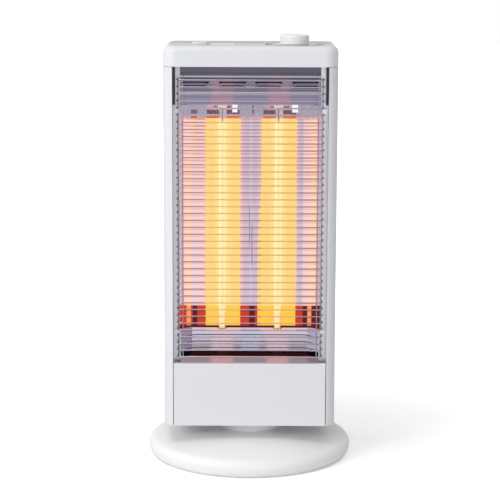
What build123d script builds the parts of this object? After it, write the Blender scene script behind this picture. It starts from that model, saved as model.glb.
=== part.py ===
from build123d import *
import math
import os

# A two-tube graphite heater that stands on a round base and swings from side to side.
# Millimetres, +Z up, front towards -Y. The origin is on the table under the middle of the base.

# Base
base_radius = 152.5
base_height = 40.1
base_edge_gap = 1.5
base_wall = 2.5
rim_radius = 13.4
rim_slope = 15.3
skirt_radius = 18.4
base_plate_inset = 14.5
base_plate_thickness = 2.0
foot_height = 3.0
foot_radius = 9.0
foot_stem_radius = 3.0
foot_barb_radius = 4.5
foot_barb_height = 1.5
foot_chamfer = 0.6
foot_inset = 16.0
foot_count = 6
base_screw_inset = 18.0
base_screw_count = 6
base_screw_length = 12.0
boss_radius = 5.0
weight_inner_radius = 60.0
weight_inset = 30.0
weight_thickness = 14.0
weight_chamfer = 1.0
weight_opening_angle = 70.0

# Neck and pivot
neck_radius = 46.0
neck_wall = 3.0
neck_height = 18.1
neck_edge = 0.8
washer_thickness = 1.2
washer_width = 12.0
post_radius = 16.0
post_bore_radius = 11.0
post_flange_radius = 40.0
post_flange_thickness = 3.0
hub_radius = 22.0
hub_height = 8.0
retainer_radius = 25.0
retainer_thickness = 2.0
nut_width = 38.0
nut_height = 4.0

# Swing drive
gear_module = 1.5
fixed_gear_teeth = 32
pinion_teeth = 14
gear_thickness = 6.0
gear_backlash = 0.35
gear_addendum = 0.9
gear_dedendum = 1.2
pressure_angle = 20.0
swing_limit = 35.0
stop_peg_radius = 3.0
stop_peg_rise = 2.0
stop_peg_circle = 36.0
stop_margin = 0.5
motor_radius = 25.0
motor_height = 18.0
motor_shaft_radius = 3.0
motor_ear_circle = 33.0
motor_ear_radius = 5.0
ear_thickness = 1.5
motor_chamfer = 1.5
motor_screw_length = 10.0
standoff_radius = 3.5

# Body shell
body_width = 252.8
body_depth = 152.0
body_corner = 20.0
shell_wall = 2.5
column_width = 13.4
column_height = 529.5
column_depth = 56.0
column_inner_depth = 30.0
joint_gap = 0.6
cap_height = 29.9
cap_edge_radius = 9.0
cap_wall = 2.5
panel_height = 94.3
panel_gap = 1.0
panel_setback = 1.0
panel_wall = 2.5
panel_lip = 6.0
panel_edge = 1.0
pan_thickness = 2.5

# Reflector chamber
reflector_setback = 35.0
tube_spacing = 82.0
groove_width = 60.0
groove_depth = 15.0
ridge_width = 2.4
ridge_height = 2.0
flank_gap = 10.5
flank_width = 16.5
flank_depth = 19.0
sheet = 0.8
plate_gap = 11.4
plate_margin = 1.6
plate_wing_angle = 20.0
plate_lean = 14.0
floor_plate_rise = 48.4
ceiling_plate_drop = 56.3
reflector_overlap = 9.0
slot_strip_depth = 3.0
slot_strip_share = 0.36
slot_strip_lap = 1.0
slot_strip_ramp = 5.0
floor_slot_drop = 38.5
floor_slot_height = 7.0
floor_slot_margin = 1.0
wing_slot_margin = 2.5
slot_cut_depth = 8.0
ceiling_slot_rise = 30.1
ceiling_slot_height = 9.4
ceiling_slot_inner = 7.0
ceiling_slot_gap = 16.0

# Heating tubes
tube_radius = 5.0
tube_wall = 1.0
tube_clearance = 0.4
tube_notch = 3.0
pinch_length = 24.0
pinch_thickness = 3.6
lead_radius = 0.8
strip_end_gap = 2.0
hot_bottom_drop = 5.0
strip_width = 7.0
strip_thickness = 0.6
hot_top_drop = 26.0
ceramic_width = 14.0
ceramic_depth = 9.6
ceramic_corner = 1.5
ceramic_height = 22.0
ceramic_overlap = 4.0
bracket_thickness = 1.0
bracket_flange = 12.0
bracket_screw_x = 20.0
bracket_screw_length = 4.0

# Front guard
guard_setback = 3.0
guard_bottom_gap = 4.5
guard_wire_pitch = 10.18
guard_wire_radius = 1.0
guard_side_gap = 6.5
guard_corner = 7.5
guard_leg = 18.0
guard_top_drop = 18.8
upright_radius = 0.8
upright_offset = 8.5
weld = 0.15

# Chassis
chassis_gap = 0.3
chassis_thickness = 1.0
chassis_flange = 26.0
chassis_foot = 14.0
chassis_screw_inset = 36.7
chassis_screw_length = 3.6
chassis_relief = 2.0
rail_depth = 20.0

# Guard clips
upright_inset = 4.0
clip_row_inset = 4
clip_height = 6.0
clip_hook = 1.0

# Controls
knob_radius = 21.0
knob_height = 13.4
knob_edge = 3.0
knob_foot_edge = 0.6
pointer_length = 9.5
pointer_width = 2.0
pointer_depth = 0.6
pointer_reach = 12.5
shaft_socket = 9.6
knob_inset = 49.3
controls_y = -28.0
dial_ring_radius = 33.0
dial_ring_thickness = 1.0
dial_recess = 0.6
dial_chamfer = 0.3
shaft_radius = 3.0
switch_width = 34.0
switch_height = 18.0
switch_floor = 4.0
switch_corner = 3.0
lug_width = 4.8
lug_thickness = 0.8
lug_length = 6.0
button_inset = 40.0
button_length = 25.0
button_width = 14.0
button_rise = 3.5
button_travel = 3.0
button_edge = 1.5
button_stem_radius = 2.5
housing_wall = 3.0
lens_inset = 89.0
lens_radius = 2.5
lens_rise = 0.8
lens_edge = 0.7
lens_flange = 1.25
lens_flange_thickness = 3.0
collar_radius = 5.0
button_flange = 3.0
button_flange_thickness = 1.5
button_stem = 6.0
cap_boss_radius = 3.6
cap_boss_inset = 10.0
cap_screw_length = 12.0

# Terminal block and cut-out
terminal_inset = 51.7
terminal_rise = 60.0
terminal_length = 44.0
terminal_height = 20.0
terminal_depth = 14.0
terminal_edge = 1.5
terminal_hole_radius = 2.0
cutout_radius = 8.0
cutout_depth = 6.0
cutout_ear_thickness = 1.0
cutout_drop = 40.0

# Rear details
louvre_count = 11
louvre_pitch = 9.0
louvre_height = 4.0
louvre_gap = 16.0
louvre_inset = 34.4
lower_louvre_count = 5
lower_louvre_rise = 22.0
grip_width = 104.0
grip_height = 30.0
grip_depth = 22.0
grip_drop = 34.0
grip_corner = 6.0
rear_screw_inset = 26.4
rear_screw_length = 8.0
tab_width = 12.0
tab_depth = 9.0
tab_length = 16.0
pan_post_height = 20.0
bush_radius = 7.0
bush_bore_radius = 3.8
bush_height = 14.0
bush_length = 9.5
bush_lip = 1.5

# Tip-over switch
tip_inset = 56.0
tip_travel = 5.0
plunger_radius = 3.5
plunger_flange_radius = 6.0
plunger_flange_thickness = 2.0
plunger_edge = 1.0
tip_switch_length = 28.0
tip_switch_corner = 2.0
tip_switch_width = 20.0
tip_switch_height = 20.0

# Screws
screw_radius = 2.0
screw_head_radius = 3.6
screw_head_height = 2.0
screw_head_edge = 0.9
screw_cross_length = 4.3
screw_cross_width = 0.8

# Clearances
seat_gap = 0.25
running_clearance = 0.08
moving_gap = 0.5

# Heights and places worked out from the sizes above
plate_bottom = foot_height
plate_top = plate_bottom + base_plate_thickness
neck_top = base_height + neck_height - washer_thickness - 2 * seat_gap
body_bottom = base_height + neck_height
pan_top = body_bottom + pan_thickness
column_top = body_bottom + column_height
cap_bottom = column_top + joint_gap
cap_top = cap_bottom + cap_height
cap_ceiling = cap_top - cap_wall
panel_top = body_bottom + panel_height
front_y = -body_depth / 2
back_y = body_depth / 2
column_inner_x = body_width / 2 - column_width
mirror_y = front_y + reflector_setback
tube_x = tube_spacing / 2
base_plate_radius = base_radius - base_plate_inset
foot_circle = base_plate_radius - foot_inset
base_screw_circle = base_plate_radius - base_screw_inset
weight_outer_radius = base_plate_radius - weight_inset
tip_y = base_plate_radius - tip_inset
flank_x = column_inner_x - flank_gap
flat_half_width = flank_x - flank_width
plate_half_width = column_inner_x - plate_gap
floor_slot_length = 2 * (flat_half_width - floor_slot_margin)
wing_slot_inner = flat_half_width + wing_slot_margin
wing_slot_length = plate_half_width - wing_slot_margin - wing_slot_inner
ceiling_slot_length = (plate_half_width - plate_margin - ceiling_slot_inner - ceiling_slot_gap) / 2
ceiling_slot_outer = ceiling_slot_inner + ceiling_slot_length + ceiling_slot_gap
plate_edge_y = mirror_y - tube_radius - tube_clearance - sheet
floor_edge_z = panel_top + floor_plate_rise
ceiling_edge_z = cap_bottom - ceiling_plate_drop
lean_tangent = math.tan(math.radians(plate_lean))
reflector_bottom = floor_edge_z - reflector_overlap
reflector_top = ceiling_edge_z + reflector_overlap
flank_y = mirror_y - flank_depth
chassis_y = mirror_y + groove_depth + sheet + chassis_gap
guard_y = front_y + guard_setback
guard_back_y = guard_y + guard_leg
guard_top = cap_bottom - guard_top_drop
guard_half_width = column_inner_x - guard_side_gap
guard_wire_count = int((guard_top - panel_top - guard_bottom_gap) / guard_wire_pitch) + 1
knob_x = column_inner_x - knob_inset
button_x = button_inset - column_inner_x
lens_x = column_inner_x - lens_inset
rear_screw_x = body_width / 2 - rear_screw_inset
louvre_length = body_width / 2 - louvre_inset - louvre_gap / 2
louvre_spacing = louvre_length + louvre_gap
tab_y = back_y - shell_wall - seat_gap - tab_depth / 2
rear_screw_xs = (-rear_screw_x, rear_screw_x)
rear_screw_levels = (pan_top + pan_post_height / 2, cap_bottom - tab_length / 2)


def dome_height(radius):
    # Height of the base's outer face at this distance from the middle, inside the rim
    return base_height - dome_radius + math.sqrt(dome_radius ** 2 - max(radius - neck_radius, 0) ** 2)


rim_sine = math.sin(math.radians(rim_slope))
dome_radius = (base_radius - neck_radius - rim_radius * (1 - rim_sine)) / rim_sine
rim_top_z = dome_height(neck_radius + dome_radius * rim_sine)
rim_centre_z = rim_top_z - rim_radius * math.cos(math.radians(rim_slope))
skirt_angle = math.degrees(math.asin((rim_centre_z - base_edge_gap) / skirt_radius))

os.makedirs("parts", exist_ok=True)


def save(piece, name):
    piece.part.label = name
    export_step(piece.part, f"parts/{name}.step")


def body_plan(inset):
    # Rounded outline that the cap, the columns and the rear shell share
    with BuildSketch() as plan:
        RectangleRounded(body_width - 2 * inset, body_depth - 2 * inset, body_corner - inset)
    return plan.sketch


def gear_plan(teeth, turn, bore):
    # Straight-sided teeth, thinned by the backlash
    pitch_radius = gear_module * teeth / 2
    half_tooth = math.pi * gear_module / 4 - gear_backlash / 2
    flank_lean = math.tan(math.radians(pressure_angle))
    tip = gear_addendum * gear_module
    root = gear_dedendum * gear_module
    corners = []
    for tooth in range(teeth):
        middle = math.radians(turn) + 2 * math.pi * tooth / teeth
        for side, rise in ((-1, -root), (-1, tip), (1, tip), (1, -root)):
            radius = pitch_radius + rise
            angle = middle + side * (half_tooth - rise * flank_lean) / pitch_radius
            corners.append((radius * math.cos(angle), radius * math.sin(angle)))
    with BuildSketch() as plan:
        with BuildLine():
            Polyline(*corners, close=True)
        make_face()
        Circle(bore, mode=Mode.SUBTRACT)
    return plan.sketch


def screw(length):
    # Cross-head screw with its head below the origin and its shank above
    with BuildPart() as piece:
        with BuildSketch():
            Circle(screw_head_radius)
        extrude(amount=-screw_head_height)
        fillet(piece.edges().filter_by(GeomType.CIRCLE).sort_by(Axis.Z)[0], screw_head_edge)
        with BuildSketch(Plane.XY.offset(-screw_head_height)):
            Rectangle(screw_cross_length, screw_cross_width)
            Rectangle(screw_cross_width, screw_cross_length)
        extrude(amount=screw_head_height / 2, mode=Mode.SUBTRACT)
        with BuildSketch():
            Circle(screw_radius)
        extrude(amount=length)
    return piece.part


def ring_places(count, radius, first):
    turns = [math.radians(first + 360 * k / count) for k in range(count)]
    return [(radius * math.cos(turn), radius * math.sin(turn)) for turn in turns]


foot_places = ring_places(foot_count, foot_circle, 0)
base_screw_places = ring_places(base_screw_count, base_screw_circle, 180 / base_screw_count)

# Domed base cover: its outline runs from the neck over the rim and in again at the skirt
with BuildPart() as base_cover:
    with BuildSketch(Plane.XZ):
        with BuildLine():
            dome = JernArc((neck_radius, base_height), (1, 0), dome_radius, -rim_slope)
            rim = JernArc(dome @ 1, dome % 1, rim_radius, rim_slope - 90)
            skirt = JernArc(rim @ 1, rim % 1, skirt_radius, -skirt_angle)
            skirt_in = JernArc((skirt @ 1) + Vector(-base_wall * math.cos(math.radians(skirt_angle)),
                                                   base_wall * math.sin(math.radians(skirt_angle))),
                               (skirt % 1) * -1, skirt_radius - base_wall, skirt_angle)
            rim_in = JernArc(skirt_in @ 1, skirt_in % 1, rim_radius - base_wall, 90 - rim_slope)
            dome_in = JernArc(rim_in @ 1, rim_in % 1, dome_radius - base_wall, rim_slope)
            Polyline(dome_in @ 1, (post_flange_radius, base_height - base_wall),
                     (post_flange_radius, base_height), (neck_radius, base_height))
            Line(skirt @ 1, skirt_in @ 0)
        make_face()
    revolve(axis=Axis.Z)
    for x, y in base_screw_places:
        with BuildSketch(Plane.XY.offset(plate_top + seat_gap)):
            with Locations((x, y)):
                Circle(boss_radius)
        extrude(amount=dome_height(base_screw_circle + boss_radius) - base_wall / 2 - plate_top - seat_gap)
    with Locations(*[Location((x, y, plate_top + seat_gap)) for x, y in base_screw_places]):
        Hole(screw_radius + running_clearance, base_screw_length)
    with BuildSketch(Plane.XZ.offset(-base_radius)):
        with Locations((0, bush_height)):
            Circle(bush_radius + running_clearance)
    extrude(amount=base_wall * 4, both=True, mode=Mode.SUBTRACT)
save(base_cover, "base_cover")

# Steel base plate with the plunger's hole
with BuildPart() as base_plate:
    with BuildSketch(Plane.XY.offset(plate_bottom)):
        Circle(base_plate_radius)
        with Locations(*base_screw_places):
            Circle(screw_radius + moving_gap / 2, mode=Mode.SUBTRACT)
        with Locations(*foot_places):
            Circle(foot_stem_radius + seat_gap, mode=Mode.SUBTRACT)
        with Locations((0, tip_y)):
            Circle(plunger_radius + moving_gap, mode=Mode.SUBTRACT)
        Circle(post_bore_radius, mode=Mode.SUBTRACT)
    extrude(amount=base_plate_thickness)
save(base_plate, "base_plate")

# Rubber feet, each with a stem through the plate and a barb above it
with BuildPart() as rubber_feet:
    with BuildSketch():
        with Locations(*foot_places):
            Circle(foot_radius)
    extrude(amount=foot_height - seat_gap)
    chamfer(rubber_feet.edges().filter_by(GeomType.CIRCLE).group_by(Axis.Z)[0], foot_chamfer)
    with BuildSketch(Plane.XY.offset(foot_height - seat_gap)):
        with Locations(*foot_places):
            Circle(foot_stem_radius)
    extrude(amount=base_plate_thickness + 2 * seat_gap)
    with BuildSketch(Plane.XY.offset(plate_top + seat_gap)):
        with Locations(*foot_places):
            Circle(foot_barb_radius)
    extrude(amount=foot_barb_height)
save(rubber_feet, "rubber_feet")

# Screws that hold the plate to the cover's bosses
with BuildPart() as base_screws:
    screw_piece = screw(base_screw_length)
    for x, y in base_screw_places:
        add(screw_piece.moved(Location((x, y, plate_bottom - seat_gap))))
save(base_screws, "base_screws")

# Cast-iron weight, open at the back for the tip-over switch and the cord
with BuildPart() as base_weight:
    with BuildSketch(Plane.XY.offset(plate_top + seat_gap)):
        Circle(weight_outer_radius)
        Circle(weight_inner_radius, mode=Mode.SUBTRACT)
        with BuildLine():
            reach = 2 * weight_outer_radius
            half_opening = math.radians(weight_opening_angle / 2)
            side_x = reach * math.sin(half_opening)
            side_y = reach * math.cos(half_opening)
            Polyline((0, 0), (side_x, side_y), (-side_x, side_y), close=True)
        make_face(mode=Mode.SUBTRACT)
    extrude(amount=weight_thickness)
    chamfer(base_weight.edges().group_by(Axis.Z)[-1], weight_chamfer)
save(base_weight, "base_weight")

# Cord bush at the back of the base, level with the rim outside and with a lip inside
bush_inner_y = base_radius - bush_length
with BuildPart() as cord_bush:
    with BuildSketch(Plane.XZ.offset(-bush_inner_y)):
        with Locations((0, bush_height)):
            Circle(bush_radius)
            Circle(bush_bore_radius, mode=Mode.SUBTRACT)
    extrude(amount=bush_inner_y - base_radius + seat_gap)
    with BuildSketch(Plane.XZ.offset(-bush_inner_y)):
        with Locations((0, bush_height)):
            Circle(bush_radius + bush_lip)
            Circle(bush_bore_radius, mode=Mode.SUBTRACT)
    extrude(amount=bush_lip)
save(cord_bush, "cord_bush")

# Tip-over switch: a housing on the plate, hollow for the plunger
plunger_flange_z = plate_top + tip_travel + moving_gap
tip_cavity_top = plunger_flange_z + plunger_flange_thickness + 2 * moving_gap
with BuildPart() as tip_switch:
    with BuildSketch(Plane.XY.offset(plate_top + seat_gap)):
        with Locations((0, tip_y)):
            RectangleRounded(tip_switch_length, tip_switch_width, tip_switch_corner)
            Circle(plunger_flange_radius + moving_gap, mode=Mode.SUBTRACT)
    extrude(amount=tip_cavity_top - plate_top - seat_gap)
    with BuildSketch(Plane.XY.offset(tip_cavity_top)):
        with Locations((0, tip_y)):
            RectangleRounded(tip_switch_length, tip_switch_width, tip_switch_corner)
            Circle(plunger_radius + moving_gap, mode=Mode.SUBTRACT)
    extrude(amount=tip_switch_height - tip_cavity_top + plate_top)
save(tip_switch, "tip_switch")

# Plunger, pressed level with the feet by the table and dropping when the heater tips
with BuildPart() as tip_plunger:
    with BuildSketch():
        with Locations((0, tip_y)):
            Circle(plunger_radius)
    extrude(amount=plate_top + tip_switch_height)
    fillet(tip_plunger.edges().filter_by(GeomType.CIRCLE).sort_by(Axis.Z)[0], plunger_edge)
    with BuildSketch(Plane.XY.offset(plunger_flange_z)):
        with Locations((0, tip_y)):
            Circle(plunger_flange_radius)
    extrude(amount=plunger_flange_thickness)
save(tip_plunger, "tip_plunger")

# Hollow steel post that carries the body and takes the wires up
hub_top = body_bottom + hub_height
retainer_z = hub_top + moving_gap
gear_z = retainer_z + retainer_thickness + seat_gap
nut_z = gear_z + gear_thickness + seat_gap
post_top = nut_z + nut_height
with BuildPart() as pivot_post:
    with BuildSketch(Plane.XY.offset(plate_top + seat_gap)):
        Circle(post_flange_radius)
        Circle(post_bore_radius, mode=Mode.SUBTRACT)
    extrude(amount=post_flange_thickness)
    with BuildSketch(Plane.XY.offset(plate_top + seat_gap)):
        Circle(post_radius)
        Circle(post_bore_radius, mode=Mode.SUBTRACT)
    extrude(amount=post_top - plate_top - seat_gap)
save(pivot_post, "pivot_post")

# Neck between the base and the body, with the stop peg on its top
with BuildPart() as neck_collar:
    with BuildSketch(Plane.XY.offset(base_height + seat_gap)):
        Circle(neck_radius)
        Circle(neck_radius - neck_wall, mode=Mode.SUBTRACT)
    extrude(amount=neck_top - base_height - seat_gap)
    with BuildSketch(Plane.XY.offset(neck_top - neck_wall)):
        Circle(neck_radius)
        Circle(post_radius + seat_gap, mode=Mode.SUBTRACT)
    extrude(amount=neck_wall)
    top_edges = neck_collar.edges().filter_by(GeomType.CIRCLE).group_by(Axis.Z)[-1]
    fillet(top_edges.sort_by(SortBy.RADIUS)[-1], neck_edge)
    with BuildSketch(Plane.XY.offset(neck_top)):
        with Locations((0, -stop_peg_circle)):
            Circle(stop_peg_radius)
    extrude(amount=pan_top + stop_peg_rise - neck_top)
save(neck_collar, "neck_collar")

# Slide washer that the body turns on
with BuildPart() as slide_washer:
    with BuildSketch(Plane.XY.offset(neck_top + seat_gap)):
        Circle(post_radius + seat_gap + washer_width)
        Circle(post_radius + seat_gap, mode=Mode.SUBTRACT)
    extrude(amount=washer_thickness)
save(slide_washer, "slide_washer")

# Retaining ring over the hub
with BuildPart() as retaining_ring:
    with BuildSketch(Plane.XY.offset(retainer_z)):
        Circle(retainer_radius)
        Circle(post_radius + running_clearance, mode=Mode.SUBTRACT)
    extrude(amount=retainer_thickness)
save(retaining_ring, "retaining_ring")

# Gear fixed to the post, with a gap between teeth facing the pinion
with BuildPart() as fixed_gear:
    with BuildSketch(Plane.XY.offset(gear_z)):
        add(gear_plan(fixed_gear_teeth, 90 + 180 / fixed_gear_teeth, post_radius + running_clearance))
    extrude(amount=gear_thickness)
save(fixed_gear, "fixed_gear")

# Nut on the post's top
with BuildPart() as post_nut:
    with BuildSketch(Plane.XY.offset(nut_z)):
        RegularPolygon(nut_width / 2, 6, major_radius=False)
        Circle(post_radius + running_clearance, mode=Mode.SUBTRACT)
    extrude(amount=nut_height)
save(post_nut, "post_nut")

# Floor pan of the body, with the bearing hub and the curved slot for the stop peg
pan_front_y = front_y + panel_setback + panel_wall + seat_gap
pan_column_y = front_y + column_depth + seat_gap
chassis_half_width = column_inner_x - sheet - 2 * seat_gap
chassis_screw_x = chassis_half_width - chassis_screw_inset
chassis_screw_y = chassis_y + chassis_foot / 2
chassis_screw_places = [(-chassis_screw_x, chassis_screw_y), (chassis_screw_x, chassis_screw_y)]
with BuildPart() as floor_pan:
    with BuildSketch(Plane.XY.offset(body_bottom)):
        add(body_plan(shell_wall + seat_gap))
        with Locations((0, front_y)):
            Rectangle(2 * body_width, 2 * (pan_column_y - front_y), mode=Mode.SUBTRACT)
        with Locations((0, (pan_front_y + pan_column_y) / 2)):
            Rectangle(2 * (column_inner_x - seat_gap), pan_column_y - pan_front_y)
    extrude(amount=pan_thickness)
    with BuildSketch(Plane.XY.offset(body_bottom)):
        Circle(hub_radius)
    extrude(amount=hub_height)
    with BuildSketch(Plane.XY.offset(body_bottom)):
        Circle(post_radius + running_clearance)
    extrude(amount=hub_height, mode=Mode.SUBTRACT)
    with BuildSketch(Plane.XY.offset(body_bottom)):
        half_swing = swing_limit + stop_margin
        SlotArc(CenterArc((0, 0), stop_peg_circle, -90 - half_swing, 2 * half_swing),
                2 * (stop_peg_radius + seat_gap))
    extrude(amount=pan_thickness, mode=Mode.SUBTRACT)
    with BuildSketch(Plane.XY.offset(body_bottom)):
        with Locations(*[(x, tab_y) for x in rear_screw_xs]):
            Rectangle(tab_width, tab_depth)
    extrude(amount=pan_thickness + pan_post_height)
    with BuildSketch(Plane.XZ.offset(-back_y)):
        with Locations(*[(x, rear_screw_levels[0]) for x in rear_screw_xs]):
            Circle(screw_radius + running_clearance)
    extrude(amount=shell_wall + tab_depth, mode=Mode.SUBTRACT)
    with BuildSketch(Plane.XY.offset(body_bottom)):
        with Locations(*chassis_screw_places):
            Circle(screw_radius + running_clearance)
    extrude(amount=pan_thickness, mode=Mode.SUBTRACT)
save(floor_pan, "floor_pan")

# Swing motor on two ears, its shaft pointing down
gear_distance = gear_module * (fixed_gear_teeth + pinion_teeth) / 2 + gear_backlash / 2
motor_z = post_top + 2 * moving_gap
ear_places = [(side * motor_ear_circle, gear_distance) for side in (-1, 1)]
with BuildPart() as swing_motor:
    with BuildSketch(Plane.XY.offset(motor_z)):
        with Locations((0, gear_distance)):
            Circle(motor_radius)
    extrude(amount=motor_height)
    chamfer(swing_motor.edges().group_by(Axis.Z)[-1], motor_chamfer)
    with BuildSketch(Plane.XY.offset(motor_z)):
        with Locations((0, gear_distance)):
            Rectangle(2 * motor_ear_circle, 2 * motor_ear_radius)
        with Locations(*ear_places):
            Circle(motor_ear_radius)
            Circle(screw_radius + seat_gap, mode=Mode.SUBTRACT)
    extrude(amount=ear_thickness)
    with BuildSketch(Plane.XY.offset(motor_z)):
        with Locations((0, gear_distance)):
            Circle(motor_shaft_radius + running_clearance)
    extrude(amount=motor_height / 2, mode=Mode.SUBTRACT)
save(swing_motor, "swing_motor")

# Standoffs between the pan and the motor's ears
with BuildPart() as motor_standoffs:
    with BuildSketch(Plane.XY.offset(pan_top + seat_gap)):
        with Locations(*ear_places):
            Circle(standoff_radius)
            Circle(screw_radius + running_clearance, mode=Mode.SUBTRACT)
    extrude(amount=motor_z - pan_top - 2 * seat_gap)
save(motor_standoffs, "motor_standoffs")

# Screws through the ears into the standoffs
with BuildPart() as motor_screws:
    screw_piece = screw(motor_screw_length)
    for x, y in ear_places:
        place = Location((x, y, motor_z + ear_thickness + seat_gap), (180, 0, 0))
        add(screw_piece.moved(place))
save(motor_screws, "motor_screws")

# Pinion and its shaft, which walk round the fixed gear as the body swings
with BuildPart() as motor_pinion:
    with BuildSketch(Plane.XY.offset(gear_z)):
        add(gear_plan(pinion_teeth, -90, motor_shaft_radius / 2).moved(Location((0, gear_distance))))
    extrude(amount=gear_thickness)
    with BuildSketch(Plane.XY.offset(gear_z)):
        with Locations((0, gear_distance)):
            Circle(motor_shaft_radius)
    extrude(amount=motor_z + motor_height / 2 - moving_gap - gear_z)
save(motor_pinion, "motor_pinion")

column_screw_place = (column_inner_x + column_width / 2 - cap_wall / 4, front_y + column_inner_depth)


def column(side):
    # Hollow side strip that follows the body's rounded outline, closed at both ends
    strip_place = (body_width / 2 - column_width / 2, front_y + column_depth / 2)
    with BuildPart() as piece:
        with BuildSketch(Plane.XY.offset(body_bottom)):
            add(body_plan(0))
            add(body_plan(shell_wall), mode=Mode.SUBTRACT)
            with Locations((column_inner_x + shell_wall / 2, front_y + column_inner_depth / 2)):
                Rectangle(shell_wall, column_inner_depth)
            with Locations(strip_place):
                Rectangle(column_width, column_depth, mode=Mode.INTERSECT)
            add(body_plan(0), mode=Mode.INTERSECT)
        extrude(amount=column_height)
        for level in (body_bottom, column_top - shell_wall):
            with BuildSketch(Plane.XY.offset(level)):
                add(body_plan(0))
                with Locations(strip_place):
                    Rectangle(column_width, column_depth, mode=Mode.INTERSECT)
            extrude(amount=shell_wall)
        with BuildSketch(Plane.XY.offset(column_top - shell_wall)):
            with Locations(column_screw_place):
                Circle(screw_radius + seat_gap)
        extrude(amount=shell_wall, mode=Mode.SUBTRACT)
    return piece.part if side > 0 else piece.part.mirror(Plane.YZ)


with BuildPart() as right_column:
    add(column(1))
save(right_column, "right_column")

with BuildPart() as left_column:
    add(column(-1))
save(left_column, "left_column")

# Rear shell, with two banks of louvres and a grip recess near the top
shell_front_y = front_y + column_depth + joint_gap
grip_z = column_top - grip_drop
louvre_top = grip_z - grip_height / 2 - 2 * shell_wall - louvre_height
lower_louvre_top = body_bottom + lower_louvre_rise + lower_louvre_count * louvre_pitch
louvre_levels = [louvre_top - k * louvre_pitch - louvre_height for k in range(louvre_count)]
louvre_levels += [lower_louvre_top - k * louvre_pitch for k in range(lower_louvre_count)]
with BuildPart() as rear_shell:
    with BuildSketch(Plane.XY.offset(body_bottom)):
        add(body_plan(0))
        add(body_plan(shell_wall), mode=Mode.SUBTRACT)
        with Locations((0, (shell_front_y + back_y) / 2)):
            Rectangle(body_width, back_y - shell_front_y, mode=Mode.INTERSECT)
    extrude(amount=column_height)
    with BuildSketch(Plane.XZ.offset(-back_y)):
        with Locations((0, grip_z)):
            RectangleRounded(grip_width, grip_height, grip_corner)
    extrude(amount=grip_depth + shell_wall)
    with BuildSketch(Plane.XZ.offset(-back_y)):
        with Locations((0, grip_z)):
            RectangleRounded(grip_width - 2 * shell_wall, grip_height - 2 * shell_wall,
                             grip_corner - shell_wall)
    extrude(amount=grip_depth, mode=Mode.SUBTRACT)
    with BuildSketch(Plane.XZ.offset(-back_y)):
        for level in louvre_levels:
            with Locations((-louvre_spacing / 2, level), (louvre_spacing / 2, level)):
                SlotOverall(louvre_length, louvre_height)
        for level in rear_screw_levels:
            with Locations(*[(x, level) for x in rear_screw_xs]):
                Circle(screw_radius + seat_gap)
    extrude(amount=2 * shell_wall, mode=Mode.SUBTRACT)
save(rear_shell, "rear_shell")

# Plain lower front panel with a lip along its top
panel_half_width = column_inner_x - panel_gap
panel_back_y = front_y + panel_setback + panel_wall
with BuildPart() as front_panel:
    with BuildSketch(Plane.YZ):
        with BuildLine():
            face_y = front_y + panel_setback
            Polyline((face_y, body_bottom), (face_y, panel_top), (panel_back_y + panel_lip, panel_top),
                     (panel_back_y + panel_lip, panel_top - panel_wall),
                     (panel_back_y, panel_top - panel_wall), (panel_back_y, body_bottom), close=True)
        make_face()
    extrude(amount=panel_half_width, both=True)
    fillet(front_panel.edges().filter_by(Axis.X).group_by(Axis.Y)[0].sort_by(Axis.Z)[-1], panel_edge)
save(front_panel, "front_panel")


def groove(centre, depth_shift):
    # Parabola with its focus on the tube: a Bezier whose middle point lies at twice the depth
    return Bezier(
        (centre - groove_width / 2, mirror_y + depth_shift),
        (centre, mirror_y + 2 * groove_depth + depth_shift),
        (centre + groove_width / 2, mirror_y + depth_shift),
    )


# Polished reflector: two grooves, a ridge between them and a flank at each side
with BuildPart() as reflector:
    with BuildSketch(Plane.XY.offset(reflector_bottom)):
        with BuildLine():
            for shift in (0, sheet):
                left = groove(-tube_x, shift)
                right = groove(tube_x, shift)
                y = mirror_y + shift
                Polyline((-flank_x, flank_y + shift), (-flat_half_width, y), left @ 0)
                Polyline(left @ 1, (-ridge_width / 2, y), (0, y - ridge_height),
                         (ridge_width / 2, y), right @ 0)
                Polyline(right @ 1, (flat_half_width, y), (flank_x, flank_y + shift))
            for side in (-1, 1):
                Line((side * flank_x, flank_y), (side * flank_x, flank_y + sheet))
        make_face()
        for side in (-1, 1):
            with Locations((side * (flank_x + sheet / 2), (flank_y + guard_back_y) / 2)):
                Rectangle(sheet, guard_back_y - flank_y)
    extrude(amount=reflector_top - reflector_bottom)
    flank_bottom = floor_edge_z + 2 * seat_gap
    flank_top = ceiling_edge_z - 2 * seat_gap
    for low, high in ((reflector_bottom, flank_bottom), (flank_top, reflector_top)):
        with BuildSketch(Plane.XY.offset(low)):
            for side in (-1, 1):
                with Locations((side * (flat_half_width + flank_width), mirror_y - flank_depth / 2)):
                    Rectangle(2 * flank_width, 3 * flank_depth)
        extrude(amount=high - low, mode=Mode.SUBTRACT)
save(reflector, "reflector")


def lanced_window(plane, centre, along, length, height):
    # Opening through a leaning plate, measured along the plate from its edge
    with BuildPart() as cut:
        with BuildSketch(plane):
            with Locations((centre, along)):
                Rectangle(length, height)
        extrude(amount=slot_cut_depth, both=True)
    return cut.part


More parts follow.
